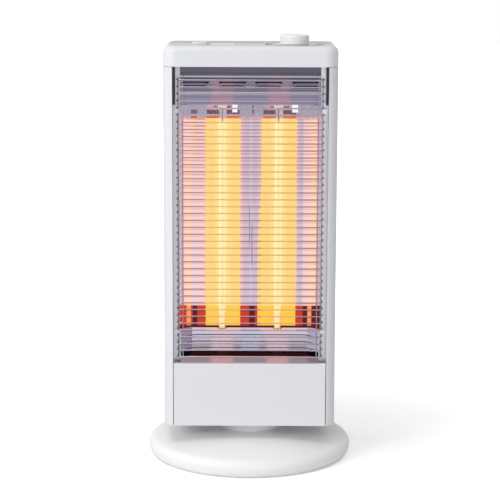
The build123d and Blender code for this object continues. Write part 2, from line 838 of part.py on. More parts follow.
def lanced_strip(plane, centre, along, length, height):
    # Strip left across the opening, pushed back from the plate and joined to it at both ends
    strip_height = height * slot_strip_share
    start = plane.from_local_coords(Vector(centre, along - strip_height / 2, 0))
    section = Plane(origin=start, x_dir=plane.x_dir, z_dir=plane.y_dir)
    back = slot_strip_depth
    half = length / 2 + slot_strip_lap
    foot = 2 * slot_strip_lap
    bend = foot + slot_strip_ramp
    with BuildPart() as strip:
        with BuildSketch(section):
            with BuildLine():
                inner_foot = foot + sheet / 2
                inner_bend = bend + sheet / 2
                Polyline((-half, 0), (-half + foot, 0), (-half + bend, back), (half - bend, back),
                         (half - foot, 0), (half, 0), (half, sheet), (half - inner_foot, sheet),
                         (half - inner_bend, back + sheet), (-half + inner_bend, back + sheet),
                         (-half + inner_foot, sheet), (-half, sheet), close=True)
            make_face()
        extrude(amount=strip_height)
    return strip.part


def leaning_plate(edge_z, end_z, direction, flange_y, bend_x):
    # Plate that leans forward from its inner edge, with a flange at the other edge
    rise = end_z - edge_z
    forward = abs(rise) * lean_tangent
    with BuildPart() as piece:
        with BuildSketch(Plane.XY.offset(edge_z)):
            with Locations((0, plate_edge_y + sheet / 2)):
                Rectangle(2 * bend_x, sheet)
            if bend_x < plate_half_width:
                wing_reach = (plate_half_width - bend_x) * math.tan(math.radians(plate_wing_angle))
                for side in (-1, 1):
                    near_x = side * bend_x
                    far_x = side * plate_half_width
                    far_y = plate_edge_y - wing_reach
                    with BuildLine():
                        Polyline((near_x, plate_edge_y), (far_x, far_y), (far_x, far_y + sheet),
                                 (near_x, plate_edge_y + sheet), close=True)
                    make_face()
        extrude(amount=math.hypot(rise, forward), dir=(0, -forward, rise))
        flange_back = plate_edge_y - forward + sheet
        with BuildSketch(Plane.XY.offset(end_z)):
            with Locations((0, (flange_y + flange_back) / 2)):
                Rectangle(2 * bend_x, flange_back - flange_y)
        extrude(amount=direction * sheet)
    return piece.part


def plate_face(edge_z, direction):
    # Plane on a leaning plate's front face, with y running away from the plate's inner edge
    slope = Vector(0, -lean_tangent, direction).normalized()
    along = Vector(direction, 0, 0)
    return Plane(origin=(0, plate_edge_y, edge_z), x_dir=along, z_dir=along.cross(slope))


# Slanted ceiling plate with four lanced vent slots
ceiling_end = cap_bottom + joint_gap
ceiling_face = plate_face(ceiling_edge_z, 1)
ceiling_slots = [
    side * (inner + ceiling_slot_length / 2)
    for side in (-1, 1)
    for inner in (ceiling_slot_inner, ceiling_slot_outer)
]
with BuildPart() as ceiling_plate:
    add(leaning_plate(ceiling_edge_z, ceiling_end, 1, front_y + cap_wall + seat_gap, plate_half_width))
    for centre in ceiling_slots:
        size = (ceiling_face, centre, ceiling_slot_rise, ceiling_slot_length, ceiling_slot_height)
        add(lanced_window(*size), mode=Mode.SUBTRACT)
        add(lanced_strip(*size))
save(ceiling_plate, "ceiling_plate")

# Slanted floor plate with one long lanced slot and a notch in front of each tube
floor_end = panel_top - panel_wall - seat_gap
floor_face = plate_face(floor_edge_z, -1)
with BuildPart() as floor_plate:
    add(leaning_plate(floor_edge_z, floor_end, -1, panel_back_y + seat_gap, flat_half_width))
    size = (floor_face, 0, floor_slot_drop, floor_slot_length, floor_slot_height)
    add(lanced_window(*size), mode=Mode.SUBTRACT)
    add(lanced_strip(*size))
    for side in (-1, 1):
        centre = side * (wing_slot_inner + wing_slot_length / 2)
        wing_slot = lanced_window(floor_face, centre, floor_slot_drop, wing_slot_length, floor_slot_height)
        add(wing_slot, mode=Mode.SUBTRACT)
    with BuildSketch(Plane.XZ.offset(-plate_edge_y)):
        with Locations((-tube_x, floor_edge_z), (tube_x, floor_edge_z)):
            Ellipse(tube_radius + tube_notch / 2, tube_notch)
    extrude(amount=3 * tube_notch, both=True, mode=Mode.SUBTRACT)
save(floor_plate, "floor_plate")

# Quartz tubes: a round hollow stretch between two flat pinched ends
ceramic_seat = ceramic_overlap - seat_gap
hot_top = ceiling_edge_z - hot_top_drop
hot_bottom = floor_edge_z - hot_bottom_drop
tube_top = hot_top + pinch_length
tube_bottom = hot_bottom - pinch_length


def quartz_tube(x):
    bore = tube_radius - tube_wall
    with BuildPart() as piece:
        with BuildSketch(Plane.XY.offset(hot_bottom)):
            with Locations((x, mirror_y)):
                Circle(tube_radius)
        extrude(amount=hot_top - hot_bottom)
        fillet(piece.edges().filter_by(GeomType.CIRCLE), tube_wall)
        with BuildSketch(Plane.XY.offset(tube_bottom)):
            with Locations((x, mirror_y)):
                SlotOverall(2 * tube_radius, pinch_thickness)
        extrude(amount=tube_top - tube_bottom)
        with BuildSketch(Plane.XY.offset(hot_bottom + tube_wall)):
            with Locations((x, mirror_y)):
                Circle(bore)
        extrude(amount=hot_top - hot_bottom - 2 * tube_wall, mode=Mode.SUBTRACT)
        with BuildSketch(Plane.XY.offset(tube_bottom)):
            with Locations((x, mirror_y)):
                Circle(lead_radius + seat_gap / 2)
        extrude(amount=tube_top - tube_bottom, mode=Mode.SUBTRACT)
    return piece.part


def graphite_element(x):
    # Flat graphite strip with a lead at each end through the pinched glass
    with BuildPart() as piece:
        with BuildSketch(Plane.XY.offset(hot_bottom + tube_wall + strip_end_gap)):
            with Locations((x, mirror_y)):
                Rectangle(strip_width, strip_thickness)
        extrude(amount=hot_top - hot_bottom - 2 * (tube_wall + strip_end_gap))
        with BuildSketch(Plane.XY.offset(tube_bottom + seat_gap)):
            with Locations((x, mirror_y)):
                Circle(lead_radius)
        extrude(amount=tube_top - tube_bottom - 2 * seat_gap)
    return piece.part


for side, x in (("left", -tube_x), ("right", tube_x)):
    with BuildPart() as tube:
        add(quartz_tube(x))
    save(tube, f"{side}_quartz_tube")
    with BuildPart() as element:
        add(graphite_element(x))
    save(element, f"{side}_graphite_element")


def ceramic_ends(socket_z, direction):
    # Two ceramic blocks, each with a socket for the flat end of a tube
    places = [(-tube_x, mirror_y), (tube_x, mirror_y)]
    with BuildPart() as piece:
        with BuildSketch(Plane.XY.offset(socket_z)):
            with Locations(*places):
                RectangleRounded(ceramic_width, ceramic_depth, ceramic_corner)
        extrude(amount=direction * ceramic_height)
        with BuildSketch(Plane.XY.offset(socket_z)):
            with Locations(*places):
                SlotOverall(2 * (tube_radius + seat_gap), pinch_thickness + 2 * seat_gap)
        extrude(amount=direction * ceramic_overlap, mode=Mode.SUBTRACT)
    return piece.part


with BuildPart() as upper_tube_ends:
    add(ceramic_ends(tube_top - ceramic_seat, 1))
save(upper_tube_ends, "upper_tube_ends")

with BuildPart() as lower_tube_ends:
    add(ceramic_ends(tube_bottom + ceramic_seat, -1))
save(lower_tube_ends, "lower_tube_ends")

# Chassis plate: stands on the floor pan, backs the reflector and carries the cap's front screws
chassis_back_y = chassis_y + chassis_thickness
chassis_bottom = pan_top + seat_gap
chassis_top = cap_bottom - seat_gap
cap_screw_x = chassis_half_width - cap_boss_inset
upper_bracket_z = tube_top - ceramic_seat + ceramic_height + seat_gap
lower_bracket_z = tube_bottom + ceramic_seat - ceramic_height - seat_gap
bracket_screw_places = [
    (side * bracket_screw_x, level)
    for side in (-1, 1)
    for level in (upper_bracket_z + bracket_flange / 2, lower_bracket_z - bracket_flange / 2)
]
with BuildPart() as chassis_plate:
    with BuildSketch(Plane.XY.offset(chassis_bottom)):
        with Locations((0, chassis_y + chassis_thickness / 2)):
            Rectangle(2 * chassis_half_width, chassis_thickness)
        for side in (-1, 1):
            flange_x = side * (chassis_half_width - chassis_thickness / 2)
            with Locations((flange_x, chassis_back_y - chassis_flange / 2)):
                Rectangle(chassis_thickness, chassis_flange)
    extrude(amount=chassis_top - chassis_bottom)
    for level, direction in ((chassis_bottom, 1), (chassis_top, -1)):
        with BuildSketch(Plane.XY.offset(level)):
            with Locations((0, chassis_y + chassis_foot / 2)):
                Rectangle(2 * chassis_half_width, chassis_foot)
        extrude(amount=direction * chassis_thickness)
    with BuildSketch(Plane.XY.offset(chassis_bottom)):
        Circle(gear_distance + pinion_teeth * gear_module / 2)
    extrude(amount=post_top + chassis_relief - chassis_bottom, mode=Mode.SUBTRACT)
    with BuildSketch(Plane.XY.offset(chassis_top - chassis_thickness)):
        with Locations((-cap_screw_x, chassis_screw_y), (cap_screw_x, chassis_screw_y)):
            Circle(screw_radius + seat_gap)
    extrude(amount=chassis_thickness, mode=Mode.SUBTRACT)
    with BuildSketch(Plane.XY.offset(chassis_bottom)):
        with Locations(*chassis_screw_places):
            Circle(screw_radius + seat_gap)
    extrude(amount=chassis_thickness, mode=Mode.SUBTRACT)
    with BuildSketch(Plane.XZ.offset(-chassis_y)):
        with Locations(*bracket_screw_places):
            Circle(screw_radius + seat_gap)
    extrude(amount=-chassis_thickness, mode=Mode.SUBTRACT)
save(chassis_plate, "chassis_plate")

# Screws that hold the chassis plate's foot to the floor pan
with BuildPart() as chassis_screws:
    screw_piece = screw(chassis_screw_length)
    for x, y in chassis_screw_places:
        add(screw_piece.moved(Location((x, y, chassis_bottom + chassis_thickness + seat_gap), (180, 0, 0))))
save(chassis_screws, "chassis_screws")


def tube_bracket(level, direction):
    # Angle bracket on the chassis plate's front that carries both ceramic ends
    front = mirror_y - ceramic_depth / 2
    back = chassis_y - seat_gap
    with BuildPart() as piece:
        with BuildSketch(Plane.XY.offset(level)):
            with Locations((0, (front + back) / 2)):
                Rectangle(tube_spacing + 2 * ceramic_width, back - front)
        extrude(amount=direction * bracket_thickness)
        with BuildSketch(Plane.XY.offset(level)):
            with Locations((0, back - bracket_thickness / 2)):
                Rectangle(tube_spacing + 2 * ceramic_width, bracket_thickness)
        extrude(amount=direction * bracket_flange)
        with BuildSketch(Plane.XZ.offset(-back)):
            with Locations(*bracket_screw_places):
                Circle(screw_radius + running_clearance)
        extrude(amount=bracket_thickness, mode=Mode.SUBTRACT)
    return piece.part


with BuildPart() as upper_tube_bracket:
    add(tube_bracket(upper_bracket_z, 1))
save(upper_tube_bracket, "upper_tube_bracket")

with BuildPart() as lower_tube_bracket:
    add(tube_bracket(lower_bracket_z, -1))
save(lower_tube_bracket, "lower_tube_bracket")

# Screws from behind the chassis plate into the two brackets
with BuildPart() as bracket_screws:
    screw_piece = screw(bracket_screw_length)
    for x, z in bracket_screw_places:
        add(screw_piece.moved(Location((x, chassis_back_y + seat_gap, z), (90, 0, 0))))
save(bracket_screws, "bracket_screws")

# Bright rails between the reflector's flanks and the columns, which the guard's bent ends meet
rail_y = guard_back_y + seat_gap


def guard_rail(side):
    outer_x = column_inner_x - seat_gap
    inner_x = flank_x - sheet
    with BuildPart() as piece:
        with BuildSketch(Plane.XY.offset(floor_end)):
            with Locations((side * (inner_x + outer_x) / 2, rail_y + sheet / 2)):
                Rectangle(outer_x - inner_x, sheet)
            with Locations((side * (outer_x - sheet / 2), rail_y + rail_depth / 2)):
                Rectangle(sheet, rail_depth)
        extrude(amount=cap_bottom - seat_gap - floor_end)
    return piece.part


for name, side in (("left_rail", -1), ("right_rail", 1)):
    with BuildPart() as rail:
        add(guard_rail(side))
    save(rail, name)

# Front guard: level wires bent back at both ends and welded to four uprights
leg_upright_x = guard_half_width - guard_wire_radius - upright_radius + weld
leg_upright_y = guard_back_y - upright_inset
face_upright_y = guard_y + guard_wire_radius + upright_radius - weld
upright_places = [
    (side * x, y)
    for side in (-1, 1)
    for x, y in ((guard_half_width - upright_offset, face_upright_y), (leg_upright_x, leg_upright_y))
]
with BuildPart() as level_wire:
    with BuildLine(Plane.XY.offset(guard_top)):
        FilletPolyline((-guard_half_width, guard_back_y), (-guard_half_width, guard_y),
                       (guard_half_width, guard_y), (guard_half_width, guard_back_y), radius=guard_corner)
    with BuildSketch(Plane.XZ.offset(-guard_back_y)):
        with Locations((-guard_half_width, guard_top)):
            Circle(guard_wire_radius)
    sweep()
upright_length = (guard_wire_count - 1) * guard_wire_pitch + 4 * guard_wire_radius
with BuildPart() as front_guard:
    with BuildSketch(Plane.XY.offset(guard_top + 2 * guard_wire_radius)):
        with Locations(*upright_places):
            Circle(upright_radius)
    extrude(amount=-upright_length)
    add([level_wire.part.moved(Location((0, 0, -k * guard_wire_pitch))) for k in range(guard_wire_count)])
save(front_guard, "front_guard")

# Clips on the rails that hook round the guard's rear uprights, between two level wires
clip_rows = (clip_row_inset, guard_wire_count - 1 - clip_row_inset)
hook_y = leg_upright_y - upright_radius - seat_gap
with BuildPart() as guard_clips:
    for row in clip_rows:
        middle = guard_top - (row + 0.5) * guard_wire_pitch
        with BuildSketch(Plane.XY.offset(middle - clip_height / 2)):
            for side in (-1, 1):
                outer_x = column_inner_x - 2 * seat_gap
                stem_x = guard_half_width + guard_wire_radius
                tip_x = leg_upright_x - upright_radius
                with Locations((side * (outer_x + stem_x) / 2, (guard_back_y + hook_y - clip_hook) / 2)):
                    Rectangle(outer_x - stem_x, guard_back_y - hook_y + clip_hook)
                with Locations((side * (outer_x + tip_x) / 2, hook_y - clip_hook / 2)):
                    Rectangle(outer_x - tip_x, clip_hook)
        extrude(amount=clip_height)
save(guard_clips, "guard_clips")

# Terminal block and thermal cut-out on the chassis plate's back
terminal_x = chassis_half_width - terminal_inset
with BuildPart() as terminal_block:
    with BuildSketch(Plane.XZ.offset(-(chassis_back_y + seat_gap))):
        with Locations((-terminal_x, body_bottom + terminal_rise)):
            Rectangle(terminal_length, terminal_height)
    extrude(amount=-terminal_depth)
    fillet(terminal_block.edges().filter_by(Axis.Y), terminal_edge)
    with BuildSketch(Plane.XZ.offset(-(chassis_back_y + seat_gap + terminal_depth))):
        with Locations((-terminal_x, body_bottom + terminal_rise)):
            with GridLocations(terminal_length / 4, terminal_height / 2, 4, 2):
                Circle(terminal_hole_radius)
    extrude(amount=terminal_depth / 2, mode=Mode.SUBTRACT)
save(terminal_block, "terminal_block")

cutout_z = ceiling_edge_z - cutout_drop
with BuildPart() as thermal_cutout:
    with BuildSketch(Plane.XZ.offset(-(chassis_back_y + seat_gap))):
        with Locations((0, cutout_z)):
            SlotOverall(4 * cutout_radius, cutout_radius)
    extrude(amount=-cutout_ear_thickness)
    with BuildSketch(Plane.XZ.offset(-(chassis_back_y + seat_gap))):
        with Locations((0, cutout_z)):
            Circle(cutout_radius)
    extrude(amount=-cutout_depth)
    with BuildSketch(Plane.XZ.offset(-(chassis_back_y + seat_gap + cutout_depth))):
        with Locations((-cutout_radius / 2, cutout_z), (cutout_radius / 2, cutout_z)):
            Rectangle(lug_thickness, lug_width)
    extrude(amount=-lug_length)
save(thermal_cutout, "thermal_cutout")

# Top cap: rounded shell with its holes, a shallow dial recess and the bosses for its screws
knob_place = (knob_x, controls_y)
button_place = (button_x, controls_y)
lens_place = (lens_x, controls_y)
boss_places = [
    (side * x, y)
    for side in (-1, 1)
    for x, y in ((cap_screw_x, chassis_screw_y), column_screw_place)
]
with BuildPart() as top_cap:
    with BuildSketch(Plane.XY.offset(cap_bottom)):
        add(body_plan(0))
    extrude(amount=cap_height)
    fillet(top_cap.faces().sort_by(Axis.Z)[-1].edges(), cap_edge_radius)
    offset(amount=-cap_wall, openings=top_cap.faces().sort_by(Axis.Z)[0])
    with BuildSketch(Plane.XY.offset(cap_bottom + seat_gap)):
        with Locations(*boss_places):
            Circle(cap_boss_radius)
    extrude(amount=cap_ceiling - cap_bottom - seat_gap)
    with BuildSketch(Plane.XY.offset(cap_bottom - tab_length)):
        with Locations(*[(x, tab_y) for x in rear_screw_xs]):
            Rectangle(tab_width, tab_depth)
    extrude(amount=cap_ceiling - cap_bottom + tab_length)
    with Locations(*[Location((x, y, cap_bottom + seat_gap), (180, 0, 0)) for x, y in boss_places]):
        Hole(screw_radius + running_clearance, cap_screw_length)
    with BuildSketch(Plane.XY.offset(cap_top)):
        with Locations(knob_place):
            Circle(dial_ring_radius + seat_gap / 2)
    extrude(amount=-dial_recess, mode=Mode.SUBTRACT)
    with BuildSketch(Plane.XY.offset(cap_ceiling)):
        with Locations(knob_place):
            Circle(collar_radius + seat_gap)
        with Locations(button_place):
            SlotOverall(button_length + 2 * moving_gap, button_width + 2 * moving_gap)
        with Locations(lens_place):
            Circle(lens_radius + seat_gap / 2)
    extrude(amount=cap_wall, mode=Mode.SUBTRACT)
    with BuildSketch(Plane.XZ.offset(-back_y)):
        with Locations(*[(x, rear_screw_levels[1]) for x in rear_screw_xs]):
            Circle(screw_radius + running_clearance)
    extrude(amount=shell_wall + tab_depth, mode=Mode.SUBTRACT)
save(top_cap, "top_cap")

# Screws that hold the cap, through the chassis flange and the columns' top plates
with BuildPart() as cap_screws:
    screw_piece = screw(cap_screw_length)
    for x, y in boss_places:
        level = column_top - shell_wall if abs(x) > column_inner_x else chassis_top - chassis_thickness
        add(screw_piece.moved(Location((x, y, level - seat_gap))))
save(cap_screws, "cap_screws")

# Screws through the rear shell, into the pan's posts below and the cap's tabs above
with BuildPart() as rear_screws:
    screw_piece = screw(rear_screw_length)
    for x in rear_screw_xs:
        for level in rear_screw_levels:
            add(screw_piece.moved(Location((x, back_y + seat_gap, level), (90, 0, 0))))
save(rear_screws, "rear_screws")

# Light dial ring in the cap's recess, under the knob
with BuildPart() as dial_ring:
    with BuildSketch(Plane.XY.offset(cap_top - dial_recess + seat_gap / 2)):
        with Locations(knob_place):
            Circle(dial_ring_radius)
            Circle(collar_radius + seat_gap, mode=Mode.SUBTRACT)
    extrude(amount=dial_ring_thickness)
    chamfer(dial_ring.edges().group_by(Axis.Z)[-1].sort_by(SortBy.RADIUS)[-1], dial_chamfer)
save(dial_ring, "dial_ring")

# Control knob with rounded top edges and a pointer groove, and a socket for the shaft
knob_bottom = cap_top - dial_recess + dial_ring_thickness + moving_gap
knob_top = knob_bottom + knob_height
with BuildPart() as power_knob:
    with BuildSketch(Plane.XY.offset(knob_bottom)):
        with Locations(knob_place):
            Circle(knob_radius)
    extrude(amount=knob_height)
    fillet(power_knob.edges().group_by(Axis.Z)[-1], knob_edge)
    fillet(power_knob.edges().group_by(Axis.Z)[0], knob_foot_edge)
    with BuildSketch(Plane.XY.offset(knob_top)):
        with Locations((knob_x - pointer_reach, controls_y)):
            SlotOverall(pointer_length, pointer_width)
    extrude(amount=-pointer_depth, mode=Mode.SUBTRACT)
    with BuildSketch(Plane.XY.offset(knob_bottom)):
        with Locations(knob_place):
            Circle(shaft_radius + running_clearance)
    extrude(amount=shaft_socket, mode=Mode.SUBTRACT)
save(power_knob, "power_knob")

# Shaft that turns with the knob
switch_bottom = cap_ceiling - seat_gap - switch_height
with BuildPart() as switch_shaft:
    with BuildSketch(Plane.XY.offset(switch_bottom + switch_floor)):
        with Locations(knob_place):
            Circle(shaft_radius)
    extrude(amount=knob_bottom + shaft_socket - seat_gap - switch_bottom - switch_floor)
save(switch_shaft, "switch_shaft")

# Rotary switch under the cap, with a collar up through it
with BuildPart() as rotary_switch:
    with BuildSketch(Plane.XY.offset(switch_bottom)):
        with Locations(knob_place):
            RectangleRounded(switch_width, switch_width, switch_corner)
    extrude(amount=switch_height)
    with BuildSketch(Plane.XY.offset(switch_bottom)):
        with Locations(knob_place):
            Circle(collar_radius)
    extrude(amount=cap_top - dial_recess - switch_bottom)
    with BuildSketch(Plane.XY.offset(switch_bottom + switch_floor - moving_gap)):
        with Locations(knob_place):
            Circle(shaft_radius + running_clearance)
    extrude(amount=cap_height, mode=Mode.SUBTRACT)
    with BuildSketch(Plane.XY.offset(switch_bottom)):
        with Locations(knob_place):
            with GridLocations(switch_width / 3, switch_width / 2, 3, 2):
                Rectangle(lug_width, lug_thickness)
    extrude(amount=-lug_length)
save(rotary_switch, "rotary_switch")

# Oval push button for the swing, held under the cap by its flange
flange_top = cap_ceiling - moving_gap
flange_bottom = flange_top - button_flange_thickness
with BuildPart() as swing_button:
    with BuildSketch(Plane.XY.offset(flange_bottom)):
        with Locations(button_place):
            SlotOverall(button_length, button_width)
    extrude(amount=cap_top + button_rise - flange_bottom)
    fillet(swing_button.edges().group_by(Axis.Z)[-1], button_edge)
    with BuildSketch(Plane.XY.offset(flange_bottom)):
        with Locations(button_place):
            SlotOverall(button_length + 2 * button_flange, button_width + 2 * button_flange)
    extrude(amount=button_flange_thickness)
    with BuildSketch(Plane.XY.offset(flange_bottom - button_stem)):
        with Locations(button_place):
            Circle(button_stem_radius)
    extrude(amount=button_stem)
save(swing_button, "swing_button")

# Swing switch: a housing under the cap with room for the button's flange and stem
room = 2 * (button_flange + moving_gap)
with BuildPart() as swing_switch:
    with BuildSketch(Plane.XY.offset(switch_bottom)):
        with Locations(button_place):
            outside = room + 2 * housing_wall
            RectangleRounded(button_length + outside, button_width + outside, housing_wall)
    extrude(amount=switch_height)
    with BuildSketch(Plane.XY.offset(flange_bottom - button_travel - moving_gap)):
        with Locations(button_place):
            SlotOverall(button_length + room, button_width + room)
    extrude(amount=switch_height, mode=Mode.SUBTRACT)
    with BuildSketch(Plane.XY.offset(flange_bottom - button_stem - button_travel - moving_gap)):
        with Locations(button_place):
            Circle(button_stem_radius + moving_gap)
    extrude(amount=switch_height, mode=Mode.SUBTRACT)
save(swing_switch, "swing_switch")

# Indicator lens with a flange under the cap
with BuildPart() as indicator_lens:
    with BuildSketch(Plane.XY.offset(cap_ceiling - seat_gap - lens_flange_thickness)):
        with Locations(lens_place):
            Circle(lens_radius + lens_flange)
    extrude(amount=lens_flange_thickness)
    with BuildSketch(Plane.XY.offset(cap_ceiling - seat_gap)):
        with Locations(lens_place):
            Circle(lens_radius)
    extrude(amount=cap_wall + seat_gap + lens_rise)
    fillet(indicator_lens.edges().group_by(Axis.Z)[-1], lens_edge)
save(indicator_lens, "indicator_lens")
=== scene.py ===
# %% [markdown]
# # A two-tube graphite heater
# The heater stands on a round base and swings from side to side on a pivot post. Its solid
# pieces come from the CAD model. This script gives each piece its finish, adds the fine things
# that repeat, and sets up a small photo studio. All sizes are in metres, +Z is up and the front
# faces -Y, as in the CAD model.

# %% Load the CAD frame
import math

import bpy
from mathutils import Matrix, Vector


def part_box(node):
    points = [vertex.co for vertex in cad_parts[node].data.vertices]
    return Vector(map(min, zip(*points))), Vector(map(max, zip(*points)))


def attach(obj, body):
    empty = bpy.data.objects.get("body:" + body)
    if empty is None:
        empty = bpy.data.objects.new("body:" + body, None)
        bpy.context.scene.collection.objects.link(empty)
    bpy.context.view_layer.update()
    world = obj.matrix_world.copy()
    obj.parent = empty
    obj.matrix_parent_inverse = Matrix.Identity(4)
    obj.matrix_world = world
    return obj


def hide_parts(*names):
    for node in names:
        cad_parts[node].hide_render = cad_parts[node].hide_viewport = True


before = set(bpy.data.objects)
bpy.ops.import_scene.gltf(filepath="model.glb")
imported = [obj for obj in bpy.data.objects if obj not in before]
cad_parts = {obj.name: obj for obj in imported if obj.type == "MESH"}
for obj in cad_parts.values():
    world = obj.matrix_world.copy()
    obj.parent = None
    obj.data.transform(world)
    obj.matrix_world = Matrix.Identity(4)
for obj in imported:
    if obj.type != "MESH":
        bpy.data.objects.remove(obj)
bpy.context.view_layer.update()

scene = bpy.context.scene

# %% [markdown]
# ## Shader maths as plain expressions
# A material is a small graph. Written link by link it hides its idea, so one class wraps an
# output socket and another wraps the tree. Operators on a signal add Math nodes, and a single
# method makes every other node: first its type and settings, then its sockets.


# %% Signals
def find_socket(sockets, key):
    """The socket with this number, identifier or name."""
    if isinstance(key, int):
        return sockets[key]
    for socket in sockets:
        if socket.identifier == key:
            return socket
    return next(s for s in sockets if s.name == key and s.enabled)


class Signal:
    """An output socket. Arithmetic on it adds Math nodes to its tree."""

    def __init__(self, tree, socket):
        self.tree, self.socket = tree, socket

    def math(self, operation, *values):
        """A Math node, with its values in the order of its sockets."""
        return self.tree.add("ShaderNodeMath", {"operation": operation}, dict(enumerate(values)))

    def __add__(self, other):
        return self.math("ADD", self, other)

    def __radd__(self, other):
        return self.math("ADD", other, self)

    def __sub__(self, other):
        return self.math("SUBTRACT", self, other)

    def __rsub__(self, other):
        return self.math("SUBTRACT", other, self)

    def __mul__(self, other):
        return self.math("MULTIPLY", self, other)

    def __rmul__(self, other):
        return self.math("MULTIPLY", other, self)

    def through(self, operation):
        """This signal through a Math node of one value, such as ABSOLUTE or FRACT."""
        return self.math(operation, self)

    def ramp(self, low, high):
        """0 below low and 1 above high, with a soft step between; low may be the larger."""
        span = {"Value": self, "From Min": low, "From Max": high}
        return self.tree.add("ShaderNodeMapRange", {"interpolation_type": "SMOOTHSTEP"}, span)

    def inside(self, low, high, soft):
        """1 between low and high, fading to 0 over the soft width outside."""
        return self.ramp(low - soft, low) * self.ramp(high + soft, high)

    def inside_any(self, spans, soft):
        """1 inside any of the spans, each of them a low and a high."""
        first, *others = [self.inside(low, high, soft) for low, high in spans]
        return sum(others, first)


print("signals ready")

# %% [markdown]
# A surface is painted in coats, as a model maker would do it: a base colour first, and then each
# further colour where its mask is 1. That keeps a busy surface readable, one coat to a line.


# %% Trees
class Tree:
    """A node tree with one way to add a node."""

    def __init__(self, tree):
        self.tree = tree

    def connect(self, socket, value):
        if isinstance(value, Signal):
            self.tree.links.new(value.socket, socket)
        elif value is not None:
            socket.default_value = value

    def add(self, kind, settings=None, sockets=None, out=0):
        node = self.tree.nodes.new(kind)
        for name, value in (settings or {}).items():
            setattr(node, name, value)
        for key, value in (sockets or {}).items():
            self.connect(find_socket(node.inputs, key), value)
        return Signal(self, find_socket(node.outputs, out)) if node.outputs else node

    def blend(self, first, second, factor):
        """Colour that goes from first to second."""
        sockets = {"Factor_Float": factor, "A_Color": first, "B_Color": second}
        return self.add("ShaderNodeMix", {"data_type": "RGBA"}, sockets, "Result_Color")

    def coats(self, color, *layers):
        """A base colour under coats of paint, each of them a colour and its mask."""
        for layer, mask in layers:
            color = self.blend(color, layer, mask)
        return color


print("trees ready")

# %% [markdown]
# Every finish is one Principled surface. Its patterns read the object's own coordinates in
# metres, so they have the same grain on every piece and stay put when a piece moves. Colours are
# given as a screen shows them, because that is how an eye judges them, and a shader wants them
# linear.


# %% Finishes and colours
class Finish(Tree):
    """A material with one Principled surface and the object's own coordinates at hand."""

    def __init__(self, name, constants):
        self.material = bpy.data.materials.new(name)
        self.material.use_nodes = True
        super().__init__(self.material.node_tree)
        self.surface = self.tree.nodes["Principled BSDF"]
        for key, value in constants.items():
            self.surface.inputs[key].default_value = value
        self.place = self.add("ShaderNodeTexCoord", None, None, "Object")
        self.x = self.add("ShaderNodeSeparateXYZ", None, {"Vector": self.place}, "X")
        self.y = self.add("ShaderNodeSeparateXYZ", None, {"Vector": self.place}, "Y")
        self.z = self.add("ShaderNodeSeparateXYZ", None, {"Vector": self.place}, "Z")

    def feed(self, key, value):
        self.connect(self.surface.inputs[key], value)

    def noise(self, scale, detail, stretch=(1, 1, 1)):
        where = self.add("ShaderNodeMapping", None, {"Vector": self.place, "Scale": stretch})
        return self.add("ShaderNodeTexNoise", None, {"Vector": where, "Scale": scale, "Detail": detail})

    def rough_skin(self, height, strength, distance):
        bump = {"Height": height, "Strength": strength, "Distance": distance}
        self.feed("Normal", self.add("ShaderNodeBump", None, bump))


def paint(red, green, blue):
    """Linear colour for red, green and blue given from 0 to 255 as a screen shows them."""
    linear = [(c / 255 / 12.92) if c / 255 <= 0.04045 else ((c / 255 + 0.055) / 1.055) ** 2.4
              for c in (red, green, blue)]
    return (*linear, 1.0)


black = (0.0, 0.0, 0.0, 1.0)
print("finishes can be painted")

# %% [markdown]
# ## Camera and studio
# The photo was taken from the front, a little above the heater, through a fairly long lens. The
# camera's place was worked out from the ellipse of the round base and the height of the body,
# and its focal length is given in pixels of the photo.

# %% Camera
camera_distance = 2.494
camera_height = 0.745
camera_pitch = 9.90
camera_roll = 0.22
sensor_width = 36.0
photo_width_pixels = 500.0
focal_length_pixels = 1686.0

camera_data = bpy.data.cameras.new("studio_camera")
camera = bpy.data.objects.new("studio_camera", camera_data)
scene.collection.objects.link(camera)
camera.location = (0.0, -camera_distance, camera_height)
tilt = Matrix.Rotation(math.radians(90 - camera_pitch), 3, "X")
roll = Matrix.Rotation(math.radians(camera_roll), 3, "Z")
camera.rotation_euler = (tilt @ roll).to_euler()
camera_data.sensor_width = sensor_width
camera_data.lens = sensor_width * focal_length_pixels / photo_width_pixels
scene.camera = camera
print("lens:", round(camera_data.lens, 1), "mm")

# %% [markdown]
# The studio is a white room. Large soft lamps give the heater its shape: the main one stands at
# the upper left and a weak one at the left side, so the right side of the body falls into a
# light grey shade. A lamp high above lights the base and the floor, and a small low one at the
# front right lifts the shade on the base. The white behind the heater isn't made with more
# light. The world is white only for what the camera, the metal and the glass see, and gives a
# plain soft light to everything else.

# %% World and lamps
world = bpy.data.worlds.new("white_room")
scene.world = world
world.use_nodes = True
room = Tree(world.node_tree)
room_light = 0.42
background = world.node_tree.nodes["Background"]
camera_ray, glossy_ray, glass_ray = [room.add("ShaderNodeLightPath", None, None, ray)
                                     for ray in ("Is Camera Ray", "Is Glossy Ray", "Is Transmission Ray")]
any_ray = camera_ray + glossy_ray + glass_ray
shown = any_ray.math("MINIMUM", any_ray, 1.0)
room.connect(background.inputs["Strength"], shown * (1.0 - room_light) + room_light)
background.inputs["Color"].default_value = (1, 1, 1, 1)


def soft_lamp(name, place, aim, width, power):
    """A round lamp of this width in metres and power in watts, turned to its aim."""
    lamp_data = bpy.data.lights.new(name, "AREA")
    lamp_data.shape = "DISK"
    lamp_data.size = width
    lamp_data.energy = power
    lamp = bpy.data.objects.new(name, lamp_data)
    scene.collection.objects.link(lamp)
    lamp.location = place
    lamp.rotation_euler = (Vector(aim) - Vector(place)).to_track_quat("-Z", "Y").to_euler()


